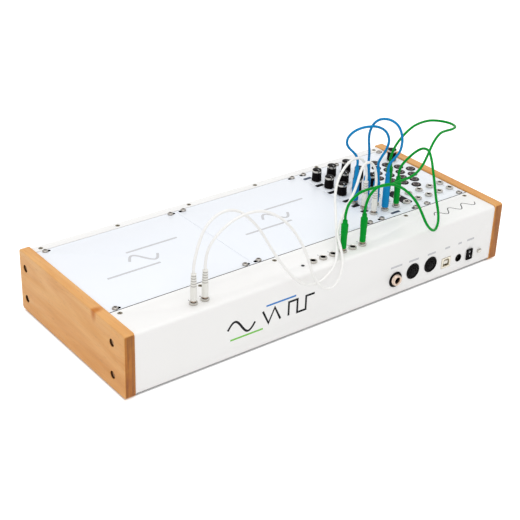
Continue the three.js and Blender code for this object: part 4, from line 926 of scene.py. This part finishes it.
jackForm = {"bore": 1.85, "knurl": 0.11, "flutes": 30, "body": (9, 10.4, 9), "corner": 0.5, "under": 0.3}
jackNut = [(3.04, 0.02), (3.6, 0.02), (3.78, 0.2), (3.78, 1.75), (3.6, 1.98), (3.3, 2.08), (3.04, 1.95),
           (3.04, 0.02)]
potForm = {"body": (9.6, 10.6, 6.4), "foot": 51.5, "edge": 0.5}
potBush = [(2.75, 57), *[(3.4 - 0.12 * (i % 2), 57 + 0.5 * i) for i in range(19)], (3.1, 66.8),
           (2.75, 66.6), (2.75, 57)]
boardForm = {"thick": 1.6, "corner": 0.8, "halfRow": 28.28, "front": -67.75, "back": 39.35}
lampProfile = [(0, -11), (1.5, -11), (1.5, 0.15), (1.4, 0.38), (1.1, 0.54), (0.6, 0.6), (0, 0.6)]
stripJacks = np.vstack([cvJacks, outputJacks])
# mouth is the radius of a bush's bore, and a board is left, right, front, back and top
circuits = {
    f"{name}_circuit": {"jacks": jacks, "pots": pots, "under": levels["panelUnder"], "mouth": 2.05,
                        "board": (centre - boardForm["halfRow"], centre + boardForm["halfRow"],
                                  boardForm["front"], boardForm["back"], potForm["foot"])}
    for name, jacks, pots, centre in (("voice", voiceJacks, knobPlaces, voiceX),
                                      ("touch", touchJacks, [encoderPlace], touchX))
}
circuits["strip_circuit"] = {"jacks": stripJacks, "pots": [], "under": levels["panelTop"] - caseForm["sheet"],
                             "mouth": 2.5, "board": (-55.2, 155.4, 70.15, 84.95, 52)}


# Fine straight knurling: the nut's rim rises and falls with the cosine of thirty times the angle.
def nutKnurl(angle, radius, height):
    return np.where(radius > 3.6, jackForm["knurl"] * np.cos(jackForm["flutes"] * angle), 0)


# The threaded bush that the nut is screwed on, with a black lining in its bore, up to its mouth.
def jackBush(mouth):
    return turned([(mouth, -2.3), (3, -2.3), (3, 1.8), (2.85, 2.0), (mouth + 0.15, 2.0), (mouth, 1.85),
                   (mouth, -2.3)])


def jackLining(mouth):
    bore, outer = jackForm["bore"], mouth - 0.02
    return turned([(bore, -2.3), (outer, -2.3), (outer, 1.5), (bore + 0.1, 1.5), (bore, 1.4), (bore, -2.3)])


def jackBody(x, y, under):
    width, depth, height = jackForm["body"]
    high = under - jackForm["under"]
    bore = circle(jackForm["bore"], 24, x, y)
    return plate(roundRect(width, depth, jackForm["corner"], x, y), [bore], high - height, high, 0.3, 0.1)


def boardPlate(left, right, front, back, top):
    middle = (left + right) / 2, (front + back) / 2
    outline = roundRect(right - left, back - front, boardForm["corner"], *middle)
    return plate(outline, [], top - boardForm["thick"], top, 0.1)


for node, plan in circuits.items():
    makePiece(node + "_board", [boardPlate(*plan["board"])], "solderMask", "circuit", node)
    places = [(x, y, levels["panelTop"]) for x, y in plan["jacks"]]
    bodies = [jackBody(x, y, plan["under"]) for x, y in plan["jacks"]]
    linings = [moved(jackLining(plan["mouth"]), *place) for place in places]
    makePiece(node + "_jack_bodies", bodies + linings, "socketBlack", "circuit", node)
    metal = turned(jackNut, 60, nutKnurl), jackBush(plan["mouth"])
    nuts = [moved(part, *place) for place in places for part in metal]
    makePiece(node + "_jack_nuts", nuts, "nickel", "circuit", node)
    if plan["pots"]:
        middle = potForm["foot"] + potForm["body"][2] / 2
        pots = [softBox(potForm["body"], x, y, middle, potForm["edge"]) for x, y in plan["pots"]]
        makePiece(node + "_pots", pots, "zinc", "circuit", node)
        bushes = [moved(turned(potBush), x, y) for x, y in plan["pots"]]
        makePiece(node + "_pot_bushes", bushes, "nickel", "circuit", node)
lamp = moved(turned(lampProfile), *lampPlace, levels["panelTop"])
makePiece("status_lamp", [lamp], "lens", "circuit", "strip_circuit")
print("jacks, pots and boards made")


# Knobs: tall fluted caps with a bright nickel band under the crown, a painted highlight of the crown's edge,
# and a white mark on top

knobForm = {"flutes": 30, "depth": 0.1}
# how much higher a cap stands, and the height of its hub's foot
knobLifts = {"knob": (0, -9.3), "encoder": (0.5, 6.2)}
# the bright band under the crown: a painted highlight of the crown's edge, made as a nickel ring
knobHighlightBand = [(4.38, 10.13), (4.74, 10.13), (4.8, 10.25), (4.8, 12.05), (4.74, 12.17), (4.38, 12.17),
            (4.38, 10.13)]
knobMark = plate(roundRect(0.7, 2.4, 0.2, 0, 2.4), [], 12.8, 12.92, 0.03)


# Straight flutes between two plain bands: the side rises and falls with the cosine of thirty times the angle.
def knobFlutes(angle, radius, height):
    side = (radius > 4.4) & (height > 3.2) & (height < 9.9)
    return np.where(side, knobForm["depth"] * (np.cos(knobForm["flutes"] * angle) - 1), 0)


def knobCap(up, foot):
    skirt = [(0, foot), (2.6, foot), (2.6, 6 + up), (4, 6 + up), (4, 0.8 + up), (4.9, 0.8 + up),
             (5.05, 0.95 + up), (5.05, 2.6 + up), (5, 3.0 + up), (4.97, 3.3), (4.78, 9.8), (4.76, 10 + up)]
    crown = [(4.72, 10.08), (4.4, 10.1), (4.4, 12.2), (4.6, 12.22), (4.6, 12.5), (4.45, 12.75), (4.1, 12.9),
             (0, 12.84)]
    return turned(skirt + [(radius, height + up) for radius, height in crown], 60, knobFlutes)


def makeKnob(name, place, up, foot):
    layers = {"cap": (knobCap(up, foot), 0, "knobBlack"), "ring": (turned(knobHighlightBand, 48), up, "nickel"),
              "mark": (knobMark, up, "inkWhite")}
    for layer, (part, lift, finish) in layers.items():
        at = (*place, levels["panelTop"] + lift)
        makePiece(f"{name}_{layer}", [moved(part, *at)], finish, "knob_black", name, body=name)


for number, place in enumerate(knobPlaces, 1):
    makeKnob(f"knob_{number}", place, *knobLifts["knob"])
makeKnob("encoder_knob", encoderPlace, *knobLifts["encoder"])
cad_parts["encoder_shaft"].data.materials[0] = finishes["nickel"]
print("knobs made")


# Touch pads: sixteen low discs in a square that stands on its corner, each with a ring let in

padForm = {"pitch": 15, "rowPitch": 10.79, "firstRow": -24.22, "side": 4}
padDisc = [(0, -0.3), (5.2, -0.3), (5.2, 0.2), (5.06, 0.5), (4.7, 0.74), (4.2, 0.8), (3.2, 0.8), (3.1, 0.68),
           (2.5, 0.68), (2.4, 0.8), (0, 0.8)]


# Rows of one to four pads and back to one, half a pitch further out in each wider row.
def padPlaces():
    side = padForm["side"]
    lines = np.arange(2 * side - 1)
    across = side - np.abs(lines - (side - 1))
    line = np.repeat(lines, across)
    number = np.concatenate([np.arange(count) for count in across])
    x = touchX + ((np.repeat(across, across) - 1) / 2 - number) * padForm["pitch"]
    return np.stack([x, padForm["firstRow"] + (side - 1 - line) * padForm["rowPitch"]], axis=-1)


discs, rings = [[moved(turned(profile, 40), x, y, levels["panelTop"]) for x, y in padPlaces()]
                for profile in (padDisc, ringProfile(2.48, 3.12, 0.6, 0.72))]
makePiece("touch_pads", discs, "padCarbon", "knob_black", "touch_panel")
makePiece("touch_pad_rings", rings, "inkRose", "panel_paint", "touch_panel")
print("touch pads made")


# Sockets on the rear wall; depths are measured out of the wall's outer face

wallBehind = -1.8
phoneForm = {"size": (17.4, 16), "corner": 0.5, "drop": 0.2, "bore": 3.3, "face": wallBehind, "floor": -21,
             "back": -22.8}
phoneFlange = [(3.3, -1.8), (7.9, -1.8), (7.9, 0.55), (7.7, 0.8), (5.75, 0.8), (5.7, 0.3), (3.3, 0.3),
               (3.3, -1.8)]
phoneFerrule = [(3.3, 0.1), (5.6, 0.1), *[(5.6 - 0.22 * (i % 2), 0.5 + 0.28 * i) for i in range(9)],
                (5.5, 3.1), (4.9, 3.75), (4.2, 3.8), (3.6, 3.5), (3.3, 3.0), (3.3, 0.1)]
dinForm = {"pins": 5, "circle": 3.5, "pin": 0.8, "core": 5.9, "body": (19.4, 19.4), "back": -14.8,
           "key": (1.6, 2.4, 1.9), "keyDrop": 6.4, "keyAt": -0.85}
dinRim = [(7.3, -1.8), (8.2, -1.8), (8.2, 0.3), (8.0, 0.5), (7.5, 0.5), (7.3, 0.3), (7.3, -1.8)]
usbForm = {"size": (11, 12.2), "corner": 0.8, "edge": 0.35, "rim": 0.25, "face": 0.3, "floor": -14.8,
           "back": -16.8, "tongue": (3.4, 5.9, 13.6), "tongueAt": -7.2, "mouth": [
               (-3.9, -4.3), (-3.9, 4.3), (2.1, 4.3), (3.9, 2.5), (3.9, -2.5), (2.1, -4.3)]}
dcForm = {"size": (11, 9), "corner": 0.5, "bore": 2.95, "face": wallBehind, "floor": -10.8, "back": -14.8}
dcRim = [(2.95, -1.8), (3.9, -1.8), (3.9, 0.2), (3.75, 0.4), (3.15, 0.4), (2.95, 0.2), (2.95, -1.8)]
dcPin = [(0, -9), (1, -9), (1, -1.1), (0.7, -0.8), (0, -0.8)]
switchForm = {"well": (9.2, 5.9), "bezel": (12, 8.5), "body": (10.4, 7.4), "face": 0.3, "proud": 1.5,
              "floor": -5.0, "back": -10.7}
rockerForm = {"tilt": 8, "pivot": -2.05, "half": 4.0, "crown": 2.95, "width": 5.3, "shoulder": 2.4,
              "heel": -1.8, "heelHalf": 1.2, "bar": (1.3, 3.1), "barHalf": 0.3, "ring": (0.65, 1.05),
              "ringAt": 2.2, "ink": (-0.1, 0.03)}


# A profile turned about a line out of the wall.
def rearTurned(name, profile, sides=44):
    x, z = rear[name]
    return moved(toRear(turned(profile, sides)), x, row["rearFace"], z)


# A rounded block across the wall, from one depth to another, with openings through it.
def rearBlock(name, size, corner, openings, low, high, edge=0.3, rim=0.15, drop=0.0):
    x, z = rear[name]
    outline = roundRect(*size, corner, z - drop, x)
    return standing(plate(outline, openings, row["rearFace"] + low, row["rearFace"] + high, edge, rim))


# A block with a blind opening: its pierced front, and its back a hundredth of a millimetre behind.
def blindBlock(name, form, opening):
    size, corner, floor = form["size"], form["corner"], form["floor"]
    edge, rim, drop = form.get("edge", 0.3), form.get("rim", 0.15), form.get("drop", 0.0)
    return [rearBlock(name, size, corner, [opening], floor, form["face"], edge, rim, drop),
            rearBlock(name, size, corner, [], form["back"], floor - 0.01, edge, rim, drop)]


phoneX, phoneZ = rear["phone"]
phoneBore = circle(phoneForm["bore"], 44, phoneZ, phoneX)
phoneParts = [rearTurned("phone", phoneFlange), *blindBlock("phone", phoneForm, phoneBore)]
makePiece("phone_jack_body", phoneParts, "socketBlack", "socket_black", "phone_jack")
ferrule = rearTurned("phone", phoneFerrule)
makePiece("phone_jack_ferrule", [ferrule], "warmNickel", "bare_steel", "phone_jack")


# A round socket: a rim, a core with its pin holes on half a circle, a key under it and a square body behind.
def dinParts(name):
    x, z = rear[name]
    f = dinForm
    turn = np.linspace(0, np.pi, f["pins"])
    half = np.stack([z + f["circle"] * np.sin(turn), x + f["circle"] * np.cos(turn)], axis=-1)
    pins, wall = circlesAt(half, f["pin"], 14), row["rearFace"]
    core = plate(circle(f["core"], 44, z, x), pins, wall + wallBehind, wall + 0.3, 0.2, 0.1)
    key = softBox(f["key"], z - f["keyDrop"], x, wall + f["keyAt"], 0.2)
    body = rearBlock(name, f["body"], 0.5, [], f["back"], wallBehind)
    return [rearTurned(name, dinRim), standing(core), standing(key), body]


for name, node in (("midiIn", "midi_in_socket"), ("midiOut", "midi_out_socket")):
    makePiece(node + "_body", dinParts(name), "socketBlack", "socket_black", node)
    shell = rearTurned(name, ringProfile(6.75, 7.15, wallBehind, 0.1))
    makePiece(node + "_shell", [shell], "blackOxide", "bare_steel", node)

usbX, usbZ = rear["usb"]
usbMouth = np.array(usbForm["mouth"]) + (usbZ, usbX)
makePiece("usb_shell_frame", blindBlock("usb", usbForm, usbMouth), "usbShell", "usb_shell", "usb_socket")
tongue = standing(softBox(usbForm["tongue"], usbZ, usbX, row["rearFace"] + usbForm["tongueAt"]))
makePiece("usb_tongue", [tongue], "ivory", "usb_shell", "usb_socket")

dcX, dcZ = rear["dc"]
dcBore = circle(dcForm["bore"], 36, dcZ, dcX)
dcParts = [rearTurned("dc", dcRim, 36), *blindBlock("dc", dcForm, dcBore)]
makePiece("dc_inlet_body", dcParts, "socketBlack", "socket_black", "dc_inlet")
makePiece("dc_inlet_pin", [rearTurned("dc", dcPin, 24)], "blackOxide", "bare_steel", "dc_inlet")


def switchParts():
    x, z = rear["rocker"]
    f = switchForm
    well = [roundRect(*f["well"], 0.4, z, x)]
    return [rearBlock("rocker", f["bezel"], 1.0, well, f["face"], f["proud"], 0.4, 0.2),
            rearBlock("rocker", f["body"], 0.6, well, f["floor"], f["face"], 0.1, 0.1),
            rearBlock("rocker", f["body"], 0.6, [], f["back"], f["floor"] - 0.01)]


# Turns a part by the rocker's tilt, about the switch's own axis, which runs along X.
def tilted(part):
    points, faces = part
    x, z = rear["rocker"]
    turn = math.radians(rockerForm["tilt"])
    y, up = points[:, 1], points[:, 2]
    swung = np.stack([points[:, 0], y * math.cos(turn) - up * math.sin(turn),
                      y * math.sin(turn) + up * math.cos(turn)], axis=-1)
    return swung + (x, row["rearFace"] + rockerForm["pivot"], z), faces


# The cap is two faces that rise from the middle by the tangent of the tilt. A bar and a ring lie on them.
def rockerParts():
    f = rockerForm
    half, crown, heel, width = f["half"], f["crown"], f["heel"], f["width"] / 2
    slope = math.tan(math.radians(f["tilt"]))
    tip, shoulder, foot = crown + slope * half, crown - f["shoulder"], f["heelHalf"]
    outline = np.array([(crown, 0), (tip, half), (shoulder, half - 0.2), (heel, foot), (heel, -foot),
                        (shoulder, 0.2 - half), (tip, -half)])
    (inner, outer), (under, over), barHalf = f["bar"], f["ink"], f["barHalf"]
    near, far = crown + slope * inner, crown + slope * outer
    bar = np.array([(near + under, -inner), (far + under, -outer), (far + over, -outer),
                    (near + over, -inner)])
    points, faces = toRear(turned(ringProfile(*f["ring"], under, over), 24))
    shear = points[:, 2] + f["ringAt"]
    ring = points + np.stack([0 * shear, crown + slope * shear, 0 * shear + f["ringAt"]], axis=-1), faces
    return endOn(plate(outline, [], -width, width)), [endOn(plate(bar, [], -barHalf, barHalf, 0)), ring]


makePiece("switch_frame", switchParts(), "socketBlack", "socket_black", "switch_housing")
rockerBody, rockerMarks = rockerParts()
rockerPieces = {"rocker_cap": ([rockerBody], "knobBlack"), "rocker_marks": (rockerMarks, "inkWhite")}
for name, (parts, finish) in rockerPieces.items():
    swung = [tilted(part) for part in parts]
    makePiece(name, swung, finish, "socket_black", "power_rocker", body="power_rocker")
print("rear sockets made")


# Feet

footProfile = [(0, 1.2), (1.9, 1.2), (2, 0.1), (2.2, 0), (6.1, 0), (6.45, 0.12), (6.85, 0.5), (7, 1.0),
               (7, 2.4), (0, 2.4)]
for node in ("front_left_foot", "front_right_foot", "rear_left_foot", "rear_right_foot"):
    foot = moved(turned(footProfile, 44), *middleOf(node))
    makePiece(node + "_rubber", [foot], "rubber", "foot_rubber", node)
for node in ("power_bus_board", "rear_board"):
    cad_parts[node].data.materials[0] = finishes["solderMask"]
print("feet made")


# Printed marks: thin ink on the panels, the strips and the rear wall

# how far ink sinks in and stands up
ink = {"low": 0.02, "high": 0.03}


# A stroke of even width: the line moved to both sides along the mitre of its neighbouring stretches.
def stroke(line, width):
    line = np.asarray(line, float)
    run = np.diff(line, axis=0)
    run /= np.linalg.norm(run, axis=1, keepdims=True)
    side = np.stack([-run[:, 1], run[:, 0]], axis=-1)
    mitre = np.vstack([side[:1], side[:-1] + side[1:], side[-1:]])
    first = np.vstack([side[:1], side])
    mitre = mitre / np.maximum(np.sum(mitre * first, axis=1, keepdims=True), 0.5)
    return np.vstack([line - mitre * width / 2, (line + mitre * width / 2)[::-1]])


# Ink within an outline on a face at some height, the panels' own if none is given.
def inkPlate(outline, top=levels["panelTop"]):
    return plate(outline, [], top - ink["low"], top + ink["high"], 0)


def inkBar(x, y, width, height, top=levels["panelTop"]):
    return inkPlate(roundRect(width, height, min(width, height) * 0.2, x, y, 3), top)


# Plain numerals, from Blender's own font, as flat parts.
def numeral(text, x, y, size):
    data = bpy.data.curves.new("numeral", "FONT")
    data.body = text
    data.size = size
    data.align_x = "CENTER"
    data.align_y = "CENTER"
    data.extrude = (ink["low"] + ink["high"]) / 2
    data.resolution_u = 3
    letter = addObject("numeral", data)
    mesh = letter.to_mesh()
    points = np.empty(len(mesh.vertices) * 3)
    mesh.vertices.foreach_get("co", points)
    faces = [list(polygon.vertices) for polygon in mesh.polygons]
    letter.to_mesh_clear()
    bpy.data.objects.remove(letter)
    bpy.data.curves.remove(data)
    return points.reshape(-1, 3) + (x, y, levels["panelTop"]), faces


def numbered(places, right, up, size=2.8):
    return [numeral(str(i), x + right, y + up, size) for i, (x, y) in enumerate(places, 1)]


# A sine drawn as a line: height times the sine of the turns along it.
def sineLine(x, y, width, height, turns=1):
    t = np.linspace(0, 1, 48 * turns)
    return np.stack([x + (t - 0.5) * width, y + height / 2 * np.sin(2 * np.pi * turns * t)], axis=-1)


# Marks drawn flat, stood up on the rear wall's face.
def onRear(parts):
    return [moved(toRear(part), y=row["rearFace"]) for part in parts]


blankMarks = []
for name in ("blank_panel_right", "blank_panel_middle"):
    x = panelXs[name]
    blankMarks += [inkBar(x + 20, 0, 56, 2.5), inkBar(x - 19, -32, 56, 2.5),
                   inkPlate(stroke(sineLine(x, -16, 30, 17), 2.6))]
# label bars along the edge of the knob panel, and a tile round one jack
dashEdge = panelXs["voice_panel"] + panelWidths["voice_panel"] / 2 - 0.2
dashes = [inkBar(dashEdge - width / 2, y, width, 5)
          for y, width in ((-46, 10.4), (-26, 10.4), (-2.5, 9.4), (11, 9.4), (25, 8))]
tile = inkBar(-146, 21, 11.5, 31)
slateBars = [inkBar(dashEdge - 5, -66, 10, 4), inkBar(-120, 44, 11.5, 3.6)]
panelNumbers = numbered([*touchJacks, *voiceJacks], 0, 6.3) + numbered(knobPlaces, 7.6, 6)
stripWave = inkPlate(stroke(sineLine(-176, 71, 56, 9, 3), 0.9))
stripMarks = [*numbered(stripJacks, 0, -7.2, 3), stripWave]
rearBars = [inkBar(-rear[name][0], 34.5, width, 2.2, 0) for name, width in
            {"phone": 15, "midiIn": 13, "midiOut": 11, "usb": 7, "dc": 5, "rocker": 10}.items()]
waves = [
    sineLine(-104, 32, 30, 14),
    np.stack([np.linspace(-84, -57, 9)[1::2], 32 + 7 * np.array([1, -1, 1, -1])], axis=-1),
    np.array([(-51, 25), (-51, 39), (-41, 39), (-41, 25), (-31, 25), (-31, 39), (-21, 39)]),
]
makePiece("panel_pale_print", blankMarks, "inkPale", "panel_paint")
makePiece("panel_grey_print", panelNumbers, "inkGrey", "panel_paint")
makePiece("panel_slate_print", slateBars, "inkSlate", "knob_black")
makePiece("panel_black_print", dashes + [tile] + stripMarks, "inkBlack", "knob_black")
makePiece("rear_grey_print", onRear(rearBars), "inkPale", "panel_paint")
waveMarks = [inkPlate(stroke(line, 2.2), 0) for line in waves]
makePiece("rear_wave_print", onRear(waveMarks), "inkBlack", "knob_black")
makePiece("rear_blue_print", onRear([inkBar(-60, 43.4, 34, 1.8, 0)]), "inkBlue", "cord_blue")
makePiece("rear_green_print", onRear([inkBar(-98, 21.2, 36, 1.8, 0)]), "inkGreen", "cord_green")
print("printed marks made")
